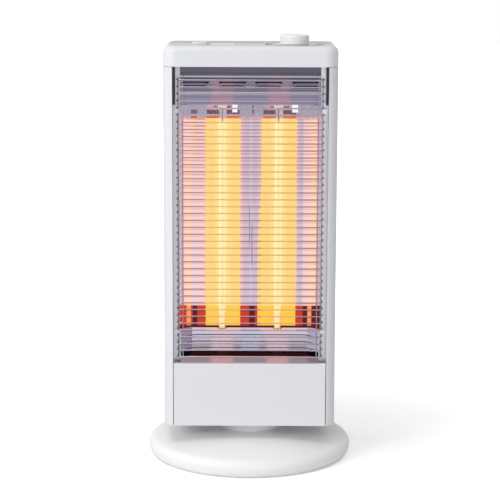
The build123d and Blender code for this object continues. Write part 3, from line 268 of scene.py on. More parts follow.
soft_lamp("main_lamp", (-2.0, -2.1, 1.4), (0, 0, 0.35), 1.3, 34)
soft_lamp("side_lamp", (-2.4, 0.4, 0.9), (0, 0, 0.3), 1.2, 5)
soft_lamp("low_lamp", (0.7, -1.8, 0.22), (0.05, 0, 0), 0.6, 3.2)
soft_lamp("top_lamp", (-0.9, -0.9, 5.0), (0, 0, 0.2), 2.5, 52)
print("lamps:", len(bpy.data.lights))

# %% [markdown]
# A floor lit by lamps alone would fade to grey away from them, and the photo's ground is white.
# So the camera also sees the floor shine by itself: fully from about a metre out, and less than
# half under the heater, where the soft shadow has to show.

# %% Floor
floor_reach = 12.0
floor_corners = [(x * floor_reach, y * floor_reach, 0) for x, y in ((-1, -1), (1, -1), (1, 1), (-1, 1))]
floor_mesh = bpy.data.meshes.new("studio_floor")
floor_mesh.from_pydata(floor_corners, [], [(0, 1, 2, 3)])
studio_floor = bpy.data.objects.new("studio_floor", floor_mesh)
scene.collection.objects.link(studio_floor)

floor_finish = Finish("floor_white", {"Roughness": 0.9, "Specular IOR Level": 0.1, "Emission Strength": 1.0})
floor_finish.feed("Base Color", (0.86, 0.86, 0.86, 1))
floor_seen = floor_finish.add("ShaderNodeLightPath", None, None, "Is Camera Ray")
from_middle = floor_finish.add("ShaderNodeVectorMath", {"operation": "LENGTH"},
                               {0: floor_finish.place}, "Value")
shine = floor_finish.blend((0.42, 0.42, 0.42, 1), (1.0, 1.0, 1.0, 1), from_middle.ramp(0.25, 1.10))
floor_finish.feed("Emission Color", floor_finish.blend(black, shine, floor_seen))
floor_mesh.materials.append(floor_finish.material)
scene.view_settings.view_transform = "Standard"
print("floor:", 2 * floor_reach, "m across")

# %% [markdown]
# ## White plastic
# The cap, the columns, the panel and the base are moulded in glossy white plastic. A plain white
# surface would do from far away. A real mould leaves a very fine skin and handling leaves
# patches that are a little less glossy, so a small bump and a soft cloud stand for them.


# %% White plastic
def plastic_skin(finish, color, shade, gloss):
    """Gives a finish the gloss and grain of moulded plastic, and returns its clouded colour."""
    cloud = finish.noise(9.0, 3.0)
    finish.feed("Roughness", cloud * 0.10 + gloss)
    finish.rough_skin(finish.noise(2600.0, 2.0), 0.06, 0.0002)
    return finish.blend(shade, color, cloud)


def white_plastic(name, color, shade, gloss):
    finish = Finish(name, {"IOR": 1.46, "Specular IOR Level": 0.4})
    finish.feed("Base Color", plastic_skin(finish, color, shade, gloss))
    return finish.material


body_color, body_shade, body_gloss = paint(234, 235, 239), paint(230, 231, 236), 0.30
shell_white = white_plastic("shell_white", body_color, body_shade, body_gloss)
# The base's white is painted a little brighter than the body's: painted light on its broad top.
white_plastic("base_white", paint(250, 250, 249), paint(247, 247, 246), 0.32)
white_plastic("knob_white", paint(246, 246, 247), paint(242, 242, 244), 0.36)
white_plastic("dial_grey", paint(214, 215, 218), paint(209, 210, 214), 0.30)
print("white plastics ready")

# %% [markdown]
# The flat top of the cap carries a light grey printed film, and a darker ring is painted round the dial.
# Painted shade makes the grey darker towards the back, where the top is seen almost edge-on. The narrow
# place beside the push button, where the real heater has its small print, is left bare and only a shade
# lighter. The film is thin, so it is painted on the topmost part of the cap's own mesh, and its places come
# from the knob and the button.

# %% Cap with its printed top
cap_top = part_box("top_cap")[1].z
button_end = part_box("swing_button")[1].x
knob_low, knob_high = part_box("power_knob")
knob_center = (knob_low + knob_high) / 2
film_drop = 0.0004
ring_inner, ring_outer = 0.0330, 0.0425

cap = Finish("cap_white", {"IOR": 1.46, "Specular IOR Level": 0.4})
cap_white = plastic_skin(cap, body_color, body_shade, body_gloss)
# The grey is painted darker towards the back, as painted shade.
film_and_shade = cap.blend(paint(204, 204, 206), paint(146, 146, 148), cap.y.ramp(-0.060, 0.060))
bare_across = cap.x.inside(button_end + 0.002, button_end + 0.032, 0.002)
bare_place = bare_across * cap.y.inside(-0.052, 0.0, 0.004)
across = cap.x - knob_center.x
along = cap.y - knob_center.y
from_knob = (across * across + along * along).through("SQRT")
film_and_shade = cap.coats(film_and_shade,
                 (paint(222, 222, 224), bare_place),
                 (paint(112, 112, 115), from_knob.inside(ring_inner, ring_outer, 0.0015)))
on_top = cap.z.ramp(cap_top - film_drop, cap_top - film_drop / 2)
cap.feed("Base Color", cap.blend(cap_white, film_and_shade, on_top))
print("cap top at", round(cap_top * 1000, 1), "mm")

# %% [markdown]
# ## Where the light lies
# Both tubes are mirrored in the reflector as two broad bands, and the wires in front of the
# bands are lit by them. The reflector and the guard share these places, so they are named once.

# %% Bands and wires
left_band = (-0.0650, -0.0148)
right_band = (0.0168, 0.0672)
lit_height = (0.2060, 0.5120)
lit_width = (-0.098, 0.098)
wires_per_metre = 98.23
for low, high in (left_band, right_band):
    print("band width:", round((high - low) * 1000, 1), "mm")

# %% [markdown]
# ## Bright metal
# The guard is nickel-plated wire: it shows pale streaks over the dark chamber, and dark lines
# over the glow. The plated steel sheets inside have a cloudy zinc skin. Metal shows what is
# round it, so its own colour is plain and only a noise makes it uneven.


# %% Plated sheets
def sheet_metal(name, color, shade, rough, spread, scale):
    finish = Finish(name, {"Metallic": 1.0})
    cloud = finish.noise(scale, 4.0)
    finish.feed("Base Color", finish.blend(shade, color, cloud))
    finish.feed("Roughness", cloud * spread + rough)
    finish.rough_skin(finish.noise(900.0, 2.0), 0.05, 0.0002)


zinc_color, zinc_shade = (0.62, 0.64, 0.67, 1), (0.48, 0.50, 0.54, 1)
sheet_metal("zinc_sheet", zinc_color, zinc_shade, 0.30, 0.20, 60.0)
sheet_metal("screw_metal", (0.58, 0.58, 0.60, 1), (0.44, 0.44, 0.46, 1), 0.24, 0.15, 300.0)
sheet_metal("iron_cast", (0.10, 0.10, 0.11, 1), (0.05, 0.05, 0.055, 1), 0.6, 0.3, 200.0)
print("plated sheets ready")

# %% [markdown]
# The wires stand against the glow, and light from behind creeps round a thin wire. Soft lamps
# don't give that, so the part of the guard before the reflector has a warmer colour and a faint
# light of its own, stronger before the two bands.

# %% Guard wire
wire = Finish("wire_nickel", {"Metallic": 1.0, "Emission Strength": 1.0})
tarnish = wire.noise(40.0, 4.0)
lit_zone = wire.z.inside(*lit_height, 0.006) * wire.x.inside(*lit_width, 0.004)
before_bands = wire.x.inside_any((left_band, right_band), 0.002)
wire_shade = wire.blend((0.34, 0.33, 0.36, 1), (0.46, 0.44, 0.48, 1), tarnish)
warm_shade = wire.blend((0.30, 0.17, 0.20, 1), (0.42, 0.26, 0.10, 1), before_bands)
wire.feed("Base Color", wire.blend(wire_shade, warm_shade, lit_zone * 0.85))
wire.feed("Roughness", tarnish * 0.12 + 0.16)
warm_light = wire.blend((0.12, 0.04, 0.05, 1), (0.30, 0.20, 0.05, 1), before_bands)
wire.feed("Emission Color", wire.blend(black, warm_light, lit_zone))
wire.rough_skin(wire.noise(900.0, 2.0), 0.05, 0.0002)
print("guard wire ready")

# %% [markdown]
# The rails beside the guard are drawn bright sheet with streaks along their length. Above the tubes they
# stand beside the dark slanted ceiling, so their outer strip is painted dark there, as painted shade. Below
# that height they mirror the lit chamber, which a faint light stands for.

# %% Rails
ceiling_start = 0.5300
outer_strip = 0.1085

rail = Finish("rail_bright", {"Metallic": 1.0, "Emission Strength": 1.0})
drawn = rail.noise(25.0, 4.0, (1, 1, 0.1))
rail_shade = rail.blend((0.56, 0.55, 0.60, 1), (0.76, 0.75, 0.80, 1), drawn)
beside_ceiling = rail.z.ramp(ceiling_start + 0.001, ceiling_start + 0.003)
# Painted shade: the outer strip of each rail is darkened above the tubes, beside the dark ceiling.
outer_strip_shade = beside_ceiling * rail.x.through("ABSOLUTE").ramp(outer_strip, outer_strip + 0.001)
chamber_side = rail.z.ramp(ceiling_start + 0.003, ceiling_start)
rail.feed("Base Color", rail.blend(rail_shade, (0.07, 0.07, 0.08, 1), outer_strip_shade))
rail.feed("Roughness", drawn * 0.12 + 0.26)
rail.feed("Emission Color", rail.blend(black, (0.06, 0.06, 0.07, 1), chamber_side))
rail.rough_skin(drawn, 0.05, 0.0003)
print("rails darken above about", round(ceiling_start * 1000), "mm")

# %% [markdown]
# The chassis plate and the tube brackets are zinc sheet behind the reflector. What the slots of the slanted
# plates let one see of them lies in shade, so their front is painted nearly black above and below the
# reflector, as painted shade.

# %% Backing sheet
backing = Finish("zinc_backing", {"Metallic": 1.0})
bloom = backing.noise(60.0, 4.0)
zinc_tone = backing.blend(zinc_shade, zinc_color, bloom)
past_reflector = backing.z.ramp(ceiling_start, ceiling_start + 0.004) + backing.z.ramp(0.1900, 0.1800)
# Painted shade: the zinc that shows through the slots is darkened above and below the reflector.
slot_shade = past_reflector * backing.y.ramp(-0.020, -0.024)
backing.feed("Base Color", backing.blend(zinc_tone, (0.03, 0.03, 0.035, 1), slot_shade))
backing.feed("Roughness", bloom * 0.20 + 0.34)
backing.rough_skin(backing.noise(900.0, 2.0), 0.05, 0.0002)
print("backing sheet ready")

# %% [markdown]
# ## Reflector with the glow in it
# Each groove of the polished reflector throws its tube back as a broad band of light, with a
# sharp edge where the groove ends. A path tracer could find those bands, but slowly and with
# grain, and an exported model would lose them. So the bands are painted where they lie on the
# sheet, from its own X and Z, as a warm emission over dark polished metal.
# Seen from a little above, a deep point of the sheet looks higher than a near one. So the heights
# take in some of the depth, and a row that is painted at one height looks straight. The numbers
# in a mask are places on the sheet in metres, and its last one says how softly its edge fades.

# %% Bands on the reflector
mirror = Finish("reflector_glow", {"Metallic": 1.0, "Emission Strength": 1.0})
ripple = mirror.noise(14.0, 3.0, (3.0, 1.0, 0.35))
fine_ripple = mirror.noise(60.0, 2.0, (2.0, 1.0, 0.2))
flat_y = -0.041
band_edge = 0.0010
depth = mirror.y - flat_y
low_line = mirror.z + depth * 0.220
high_line = mirror.z + depth * 0.095


def guard_reflection_rows(height):
    """Painted reflection of the guard: soft rows at the pitch of its wires."""
    return (height * wires_per_metre + 0.35).through("FRACT").inside(0.42, 0.58, 0.12)


guard_reflection = guard_reflection_rows(mirror.z + depth * 0.155)
low_guard_reflection = guard_reflection_rows(low_line)
widening = high_line.ramp(0.420, 0.320) * 0.0050
right_low, right_high = right_band
right_glow = (mirror.x + widening).ramp(right_low - band_edge, right_low)
right_glow = right_glow * mirror.x.ramp(right_high + band_edge, right_high)
bands = mirror.x.inside(*left_band, band_edge) + right_glow
cores = mirror.x.inside_any(((-0.044, -0.036), (0.038, 0.046)), 0.012)
print("reflector coordinates ready")

# %% [markdown]
# All of this is painted light. Between the bands the sheet mirrors a cool lavender, with a thin ridge in the
# middle that carries a painted highlight and painted shade. On the outer flanks the light of both tubes
# mixes to pink, with a warm bar on each. A painted reflection of the guard's wires lies faintly on both.

# %% Upper part of the reflector
glow_yellow = paint(250, 208, 128)
glow_pale = paint(255, 228, 160)
flank_pink = paint(247, 208, 204)
flank_warm = paint(255, 214, 172)
strip_lavender = paint(206, 190, 208)

flanks = mirror.x.ramp(0.0765, 0.0790) + mirror.x.ramp(-0.0650, -0.0665)
pale_streak = mirror.x.inside(-0.0845, -0.0795, 0.0030) * high_line.ramp(0.345, 0.300)
warm_rows = mirror.x.inside(-0.0830, -0.0680, 0.0030) * high_line.ramp(0.455, 0.490) * guard_reflection
pink_edge = mirror.x.inside(-0.0650, -0.0130, 0.0060) + mirror.x.inside(0.0150, 0.0680, 0.0050)
rim_shade = mirror.x.ramp(-0.0960, -0.0985) + mirror.x.ramp(0.0955, 0.0985)
drift = high_line.ramp(0.40, 0.49) * 0.0070
bars = (mirror.x - drift).inside(-0.0925, -0.0885, 0.0012) + mirror.x.inside(0.0895, 0.0955, 0.0014)
ridge_light = mirror.x.inside(0.0008, 0.0016, 0.0006)
ridge_dark = (mirror.x.inside(-0.0010, -0.0002, 0.0005) * high_line.inside(0.330, 0.378, 0.012)
              + mirror.x.inside(0.0022, 0.0032, 0.0005) * high_line.inside(0.300, 0.350, 0.012))
band_color = mirror.blend(glow_yellow, glow_pale, cores * 0.55 + ripple * 0.35)
upper = mirror.coats(strip_lavender,
                     (flank_pink, flanks),
                     (paint(226, 214, 222), pale_streak * 0.75),
                     (paint(246, 172, 120), warm_rows * 0.8),
                     (paint(244, 196, 190), pink_edge * 0.65),
                     (paint(200, 180, 190), rim_shade),
                     (flank_warm, bars * (fine_ripple * 0.5 + 0.55)),
                     (paint(182, 122, 126), guard_reflection * (high_line.ramp(0.390, 0.430) * 0.20 + 0.25)),
                     (paint(224, 218, 228), ridge_light * 0.6),
                     (paint(96, 84, 100), ridge_dark * 0.7),
                     (band_color, bands))
print("nodes in the reflector's upper part:", len(mirror.tree.nodes))

# %% [markdown]
# Below the hot part of the strips the sheet sees less light: the bands turn a deep yellow and
# the places beside them go red and dark.

# %% Lower part of the reflector
glow_deep = paint(255, 196, 44)
# Painted reflected light: the red and the dark of the sheet beside the deep bands, and of the mirrored
# shapes.
reflected_red = paint(200, 66, 44)
reflected_dark = paint(88, 38, 46)

reds = (mirror.x.inside(-0.0770, -0.0020, 0.002) + mirror.x.inside(0.0085, 0.0775, 0.002)
        + mirror.x.inside(-0.104, -0.0855, 0.001) + mirror.x.inside(0.0855, 0.0910, 0.001))
low_bars = mirror.x.inside_any(((-0.0930, -0.0880), (0.0862, 0.0905)), 0.0010)
low_band_color = mirror.blend(glow_deep, glow_yellow, ripple * 0.6)
lower = mirror.coats(reflected_dark,
                     (reflected_red, reds),
                     (paint(250, 160, 92), low_bars),
                     (paint(70, 26, 34), low_guard_reflection * 0.35),
                     (low_band_color, bands),
                     (paint(104, 26, 26), low_line.ramp(0.2034, 0.2026)))
glow = mirror.blend(upper, lower, low_line.ramp(0.2340, 0.2325))
print("nodes with the lower part:", len(mirror.tree.nodes))

# %% [markdown]
# Above the hot part the grooves mirror the ends of the tubes: dark shapes on both sides of each
# stem, an orange rim where the bands begin, and one white spot beside each tube. The two stems
# mirror the same way, so their shapes are drawn once, by the distance to the nearer stem.

# %% Top of the reflector
left_stem, right_stem = -0.0400, 0.0428
left_reach = (mirror.x - left_stem).through("ABSOLUTE")
right_reach = (mirror.x - right_stem).through("ABSOLUTE")
reach_out = left_reach.math("MINIMUM", left_reach, right_reach)
scratch = mirror.noise(420.0, 2.0, (1.0, 1.0, 0.6)).ramp(0.44, 0.58)

above_tubes = mirror.x.inside_any(((-0.058, -0.028), (0.030, 0.058)), 0.010)
end_shapes = reach_out.inside(0.0056, 0.0235, 0.0010)
small_shapes = reach_out.inside(0.0056, 0.0135, 0.0008) * high_line.inside(0.5258, 0.5298, 0.0006)
outer_shape = mirror.x.inside(-0.0865, -0.0785, 0.0008)
shape_rows = high_line.inside(0.5180, 0.5236, 0.0008)
spots = mirror.x.inside_any(((-0.0262, -0.0196), (0.0612, 0.0690)), 0.0008)
dashes = mirror.x.inside(0.0030, 0.0046, 0.0005) * high_line.inside(0.5190, 0.5300, 0.0010)
crown_base = mirror.blend(paint(172, 164, 184), paint(206, 176, 192), above_tubes)
crown = mirror.coats(crown_base,
                     (paint(224, 178, 178), high_line.ramp(0.5190, 0.5120) * 0.7),
                     (paint(232, 110, 48), end_shapes * high_line.inside(0.5110, 0.5160, 0.0006)),
                     (reflected_dark, end_shapes * shape_rows * (scratch * 0.25 + 0.75)),
                     (reflected_dark, small_shapes * (scratch * 0.5 + 0.45)),
                     (paint(84, 62, 70), outer_shape * high_line.inside(0.5185, 0.5236, 0.0008) * 0.8),
                     (paint(214, 92, 56), outer_shape * high_line.inside(0.5110, 0.5150, 0.0008)),
                     (paint(150, 122, 142), scratch * 0.35),
                     (paint(252, 248, 250), spots * high_line.inside(0.5206, 0.5316, 0.0006)),
                     (paint(60, 52, 66), dashes * 0.8))
glow = mirror.blend(glow, crown, high_line.ramp(0.5112, 0.5120))
print("nodes with the top:", len(mirror.tree.nodes))

# %% [markdown]
# The painted light goes to the emission. A darker copy of it is the metal's own colour, so that
# a lamp or a turned view still finds a polished sheet there.

# %% Polished sheet
mirror.feed("Base Color", mirror.blend(glow, black, 0.88))
mirror.feed("Emission Color", mirror.blend(glow, black, 0.05))
mirror.feed("Roughness", ripple * 0.12 + 0.10)
mirror.rough_skin(ripple, 0.08, 0.0006)
print("reflector glow ready")

# %% [markdown]
# ## Slanted plates
# The two slanted plates close the chamber above and below. They are of the same bright sheet,
# and they mirror the tubes and the guard. As on the reflector, what they mirror is painted where
# the photo shows it, so that an exported model keeps it too.


# %% Plate helpers
def plate(name):
    """A plate's finish and the broad cloud on it."""
    finish = Finish(name, {"Metallic": 1.0, "Emission Strength": 1.0})
    return finish, finish.noise(10.0, 3.0, (1, 1, 3))


def by_tubes(finish):
    return finish.x.inside_any(((-0.052, -0.030), (0.030, 0.052)), 0.010)


print("plate helpers ready")

# %% [markdown]
# The ceiling plate's colour is painted light: dark near the cap, lighter towards the tubes, and faintly pink
# in front of each tube. The wires are mirrored in it as dark and light rows, and painted shade at the edges
# of its four vents shows as two rows of darker lines.

# %% Ceiling plate
slot_spans = ((-0.0995, -0.0605), (-0.0450, -0.0070), (0.0070, 0.0450), (0.0605, 0.0995))
dark_row_spans = ((0.5470, 0.5480), (0.5532, 0.5546), (0.5696, 0.5708))

ceiling, cloud = plate("ceiling_sheet")
vent_edge_shade = ceiling.z.inside(0.5640, 0.5658, 0.0004) * 0.9 + ceiling.z.inside(0.5566, 0.5580, 0.0005) * 0.7
tube_fade = ceiling.z.ramp(0.580, 0.545)
light_rows = ceiling.z.inside(0.5726, 0.5742, 0.0005) + ceiling.z.inside(0.5492, 0.5504, 0.0004)
ceiling_color = ceiling.coats(paint(124, 119, 141),
                              (paint(106, 102, 116), ceiling.z.ramp(0.536, 0.570)),
                              (paint(84, 80, 92), ceiling.z.ramp(0.566, 0.572)),
                              (paint(158, 122, 136), by_tubes(ceiling) * tube_fade * 0.75),
                              (black, cloud * 0.16),
                              (paint(72, 62, 76), ceiling.z.inside_any(dark_row_spans, 0.0004) * 0.55),
                              (paint(164, 160, 174), light_rows * 0.75),
                              (paint(12, 8, 14), ceiling.x.inside_any(slot_spans, 0.0006) * vent_edge_shade))
ceiling.feed("Emission Color", ceiling_color)
ceiling.feed("Base Color", ceiling.blend(ceiling_color, black, 0.35))
ceiling.feed("Roughness", cloud * 0.06 + 0.07)
ceiling.rough_skin(cloud, 0.04, 0.0006)
print("vents in the ceiling plate:", len(slot_spans))

# %% [markdown]
# The floor plate's colour is painted light too: a pale lavender, a little pink before the tubes, with a long
# slot in painted shade and a lip under it. The lowest wires are mirrored in it as thick dark rows, which
# bend down where the plate folds at both sides.

# %% Floor plate
fold_x = 0.081
row_spans = ((0.1903, 0.1915), (0.1808, 0.1819), (0.1718, 0.1729))
slot_edge_spans = ((0.1664, 0.1674), (0.1606, 0.1616))

bottom, cloud = plate("floor_sheet")
outward = bottom.x.through("ABSOLUTE") - fold_x
past_fold = outward.math("MAXIMUM", outward, 0.0)
row_line = bottom.z + past_fold * 0.17
lip_color = bottom.blend(paint(142, 122, 132), paint(196, 142, 146), by_tubes(bottom) * 0.8)
slot_ends = bottom.x.ramp(0.084, 0.088) + bottom.x.ramp(-0.084, -0.088)
slot_color = bottom.coats(paint(58, 14, 16),
                          (paint(10, 6, 8), slot_ends),
                          (paint(20, 8, 10), bottom.z.inside_any(slot_edge_spans, 0.0003)))
bottom_color = bottom.coats(paint(150, 132, 144),
                            (paint(196, 188, 208), bottom.z.ramp(0.166, 0.198)),
                            (paint(212, 182, 192), by_tubes(bottom) * 0.65),
                            (paint(186, 178, 202), bottom.x.inside(0.086, 0.102, 0.001)),
                            (paint(118, 104, 130), bottom.x.inside(-0.102, -0.086, 0.001) * 0.8),
                            (paint(176, 180, 204), bottom.x.inside(-0.008, 0.010, 0.008) * 0.6),
                            (paint(58, 50, 66), row_line.inside_any(row_spans, 0.0003) * 0.9),
                            (lip_color, bottom.z.ramp(0.1612, 0.1604)),
                            (slot_color, bottom.z.inside(0.1606, 0.1672, 0.0005)))
bottom.feed("Emission Color", bottom.blend(bottom_color, black, cloud * 0.15 + 0.16))
right_end = bottom.x.ramp(0.084, 0.087)
bottom.feed("Base Color", bottom.blend(bottom_color, black, right_end * 0.38 + 0.58))
bottom.feed("Roughness", cloud * 0.06 + 0.08)
bottom.rough_skin(cloud, 0.04, 0.0006)
print("wires mirrored in the floor plate:", len(row_spans))

# %% [markdown]
# ## Tubes
# A graphite strip glows orange-white inside clear quartz. The glass is nearly invisible, with a
# pale shine along its sides and a warm haze around the strip. Only the hot length glows: the
# ends stay dark. Real refraction in so thin a tube costs much time and shows little, so the
# glass is a see-through shell that thickens towards its outline.

# %% Graphite and quartz
graphite = Finish("graphite_hot", {"Base Color": (0.02, 0.02, 0.02, 1), "Roughness": 0.6,
                                   "Emission Strength": 1.0})
hot = graphite.z.inside(0.2010, 0.5030, 0.004)
grain = graphite.noise(60.0, 2.0, (1, 1, 0.08))
strip_light = graphite.blend(paint(248, 206, 128), paint(253, 220, 156), grain)
graphite.feed("Emission Color", graphite.blend((0.015, 0.012, 0.012, 1), strip_light, hot))

quartz = Finish("quartz_clear", {"Base Color": (0.96, 0.95, 0.95, 1), "Roughness": 0.06, "IOR": 1.46,
                                 "Emission Strength": 1.0})
glass_hot = quartz.z.inside(0.2030, 0.5060, 0.006)
rim = quartz.add("ShaderNodeLayerWeight", None, {"Blend": 0.35}, "Facing")
dark_limb = rim.ramp(0.18, 0.34) * quartz.z.ramp(0.2235, 0.2215)
glass_glow = quartz.blend(paint(214, 172, 104), paint(96, 40, 24), dark_limb)
quartz.feed("Emission Color", quartz.blend(black, glass_glow, glass_hot))
quartz.feed("Alpha", rim * 0.30 + 0.12 + dark_limb * 0.55)
print("graphite and quartz ready")

# %% [markdown]
# The tube ends are cast ceramic, matt and a little grainy. The upper ones catch a warm light at the front,
# and the lower ones are painted dark where the slot of the floor plate lets them show, as painted shade.

# %% Ceramic
ceramic = Finish("ceramic_white", {"Roughness": 0.55, "Emission Strength": 1.0})
pores = ceramic.noise(420.0, 3.0)
ceramic_tone = ceramic.blend(paint(228, 220, 214), paint(240, 232, 228), pores)
# Painted shade: the lower ends are darkened where the floor plate's slot shows them.
lower_end_shade = ceramic.z.ramp(0.2000, 0.1940) * ceramic.y.ramp(-0.015, -0.025)
ceramic.feed("Base Color", ceramic.blend(ceramic_tone, paint(58, 34, 32), lower_end_shade))
warm_end = ceramic.z.inside(0.5200, 0.5330, 0.004) * ceramic.y.ramp(-0.020, -0.040)
ceramic.feed("Emission Color", ceramic.blend(black, paint(96, 58, 66), warm_end))
ceramic.rough_skin(pores, 0.12, 0.0003)
print("ceramic ready")

# %% [markdown]
# ## Rubber, black plastic and gears
# Most of these are inside or underneath, and show when the heater is turned over or taken
# apart. Only the lens of the indicator lamp and the cord's bush at the back are in plain view.
# They differ in colour, gloss and grain but not in kind, so one function makes them all.


# %% Dull finishes
def dull_finish(name, color, shade, rough, scale, grain_depth):
    finish = Finish(name, {"Specular IOR Level": 0.3})
    grains = finish.noise(scale, 3.0)
    finish.feed("Base Color", finish.blend(shade, color, grains))
    finish.feed("Roughness", grains * 0.15 + rough)
    finish.rough_skin(grains, 0.2, grain_depth)


dull_finish("rubber_black", (0.022, 0.022, 0.022, 1), (0.012, 0.012, 0.012, 1), 0.7, 500.0, 0.0003)
dull_finish("plastic_black", (0.035, 0.035, 0.038, 1), (0.022, 0.022, 0.025, 1), 0.45, 900.0, 0.0002)
dull_finish("gear_natural", paint(228, 224, 212), paint(214, 210, 198), 0.45, 300.0, 0.0002)
dull_finish("lens_smoke", paint(92, 60, 62), paint(70, 42, 46), 0.12, 80.0, 0.0001)
print("dull finishes ready")

# %% [markdown]
# ## Each CAD piece gets its finish
# The CAD solids that have their right shape stay as they are. Only their material slots change.

# %% Dress the CAD pieces
dress = {
    "cap_white": ["top_cap"],
    "shell_white": ["right_column", "left_column", "rear_shell", "front_panel", "swing_button"],
    "base_white": ["base_cover", "neck_collar"],
    "knob_white": ["power_knob"],
    "dial_grey": ["dial_ring"],
    "wire_nickel": ["front_guard"],
    "rail_bright": ["left_rail", "right_rail", "guard_clips"],
    "reflector_glow": ["reflector"],
    "ceiling_sheet": ["ceiling_plate"],
    "floor_sheet": ["floor_plate"],
    "graphite_hot": ["left_graphite_element", "right_graphite_element"],
    "quartz_clear": ["left_quartz_tube", "right_quartz_tube"],
    "ceramic_white": ["upper_tube_ends", "lower_tube_ends", "terminal_block"],
    "zinc_sheet": ["base_plate", "pivot_post", "retaining_ring", "post_nut", "floor_pan", "motor_standoffs",
                   "thermal_cutout", "swing_motor", "switch_shaft"],
    "zinc_backing": ["chassis_plate", "upper_tube_bracket", "lower_tube_bracket"],
    "screw_metal": ["base_screws", "motor_screws", "chassis_screws", "bracket_screws", "cap_screws",
                    "rear_screws"],
    "iron_cast": ["base_weight"],
    "rubber_black": ["rubber_feet", "cord_bush"],
    "plastic_black": ["tip_switch", "tip_plunger", "rotary_switch", "swing_switch"],
    "gear_natural": ["fixed_gear", "motor_pinion", "slide_washer"],
    "lens_smoke": ["indicator_lens"],
}
for finish_name, pieces in dress.items():
    for piece in pieces:
        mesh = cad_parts[piece].data
        mesh.materials.clear()
        mesh.materials.append(bpy.data.materials[finish_name])
bare = sorted(set(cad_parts) - {p for pieces in dress.values() for p in pieces})
print("dressed:", sum(len(p) for p in dress.values()), "left bare:", bare)

# %% [markdown]
# ## Things that repeat, made by Geometry Nodes
# A wire guard, a bank of louvres and a ring of dial marks each follow a rule. A small node tree
# holds that rule, with its sizes as named inputs, so one number changes all of it. The result is
# turned into a plain mesh at the end, because an exported model keeps no node trees.


# %% Geometry tree helper
class Recipe(Tree):
    """A Geometry Nodes tree with named inputs, which ends in plain geometry with a material."""

    def __init__(self, name, sizes):
        super().__init__(bpy.data.node_groups.new(name, "GeometryNodeTree"))
        self.sizes = sizes
        face = self.tree.interface
        face.new_socket("Geometry", in_out="INPUT", socket_type="NodeSocketGeometry")
        face.new_socket("Geometry", in_out="OUTPUT", socket_type="NodeSocketGeometry")
        for label, value in sizes.items():
            kind = "NodeSocketInt" if isinstance(value, int) else "NodeSocketFloat"
            face.new_socket(label, in_out="INPUT", socket_type=kind)
        self.entry = self.add("NodeGroupInput").socket.node

    def size(self, label):
        return Signal(self, find_socket(self.entry.outputs, label))

    def finish(self, geometry, material, smooth=True):
        real = self.add("GeometryNodeRealizeInstances", None, {"Geometry": geometry})
        shaded = self.add("GeometryNodeSetShadeSmooth", None, {"Geometry": real, "Shade Smooth": smooth})
        painted = self.add("GeometryNodeSetMaterial", None, {"Geometry": shaded, "Material": material})
        self.add("NodeGroupOutput", None, {0: painted})

    def build(self, start_mesh, body, slot):
        name = self.tree.name
        source = bpy.data.objects.new(name + "_source", start_mesh)
        scene.collection.objects.link(source)
        modifier = source.modifiers.new(name, "NODES")
        modifier.node_group = self.tree
        for item in self.tree.interface.items_tree:
            if item.in_out == "INPUT" and item.name in self.sizes:
                modifier[item.identifier] = self.sizes[item.name]
        bpy.context.view_layer.update()
        ready = source.evaluated_get(bpy.context.evaluated_depsgraph_get())
        mesh = bpy.data.meshes.new_from_object(ready)
        bpy.data.objects.remove(source)
        piece = bpy.data.objects.new(name, mesh)
        scene.collection.objects.link(piece)
        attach(piece, body)
        mesh.calc_loop_triangles()
        print(name, "triangles:", len(mesh.loop_triangles))
        return piece


def start_points(name, points, edges=()):
    """The plain mesh that a tree starts from."""
    mesh = bpy.data.meshes.new(name)
    mesh.from_pydata([Vector(p) for p in points], list(edges), [])
    return mesh


def combine(tree, x=0.0, y=0.0, z=0.0):
    return tree.add("ShaderNodeCombineXYZ", None, {"X": x, "Y": y, "Z": z})


print("geometry helpers ready")

# %% [markdown]
# ## Wire guard
# The real guard is made of level wires, bent back at both ends and spot-welded to uprights. One
# wire is drawn as a line with rounded corners, swept with a small circle, and then repeated at
# an even pitch. Sweeping a circle gives clean round wires with few faces. The wires' count comes
# from the height of the CAD guard, which this one replaces.

# %% Level wires
low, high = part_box("front_guard")
wire_radius = 0.0010
upright_radius = 0.0008
wire_pitch = 0.01018
wire_count = int(round((high.z - low.z - 4 * wire_radius) / wire_pitch)) + 1
guard_top = high.z - 2 * wire_radius
side_x = high.x - wire_radius
front_y = low.y + wire_radius
back_y = high.y

guard = Recipe("wire_guard", {"Wire radius": wire_radius, "Pitch": wire_pitch, "Wires": wire_count,
                              "Corner radius": 0.0075, "Upright radius": upright_radius,
                              "Upright height": high.z - low.z})
path = guard.add("GeometryNodeMeshToCurve", None, {"Mesh": guard.size("Geometry")})
bent = guard.add("GeometryNodeFilletCurve", {"mode": "POLY"},
                 {"Curve": path, "Radius": guard.size("Corner radius"), "Count": 6, "Limit Radius": True})
round_wire = guard.add("GeometryNodeCurvePrimitiveCircle", None,
                       {"Resolution": 12, "Radius": guard.size("Wire radius")})
swept = guard.add("GeometryNodeCurveToMesh", None,
                  {"Curve": bent, "Profile Curve": round_wire, "Fill Caps": True})
ladder = guard.add("GeometryNodeMeshLine", None,
                   {"Count": guard.size("Wires"), "Offset": combine(guard, z=0.0 - guard.size("Pitch"))})
wires = guard.add("GeometryNodeInstanceOnPoints", None, {"Points": ladder, "Instance": swept})
print("level wires:", wire_count)

# %% [markdown]
# Four uprights stand behind the wires, two at the front and one on each bent side. Each sinks a
# little into the wires, as a spot weld lets it.

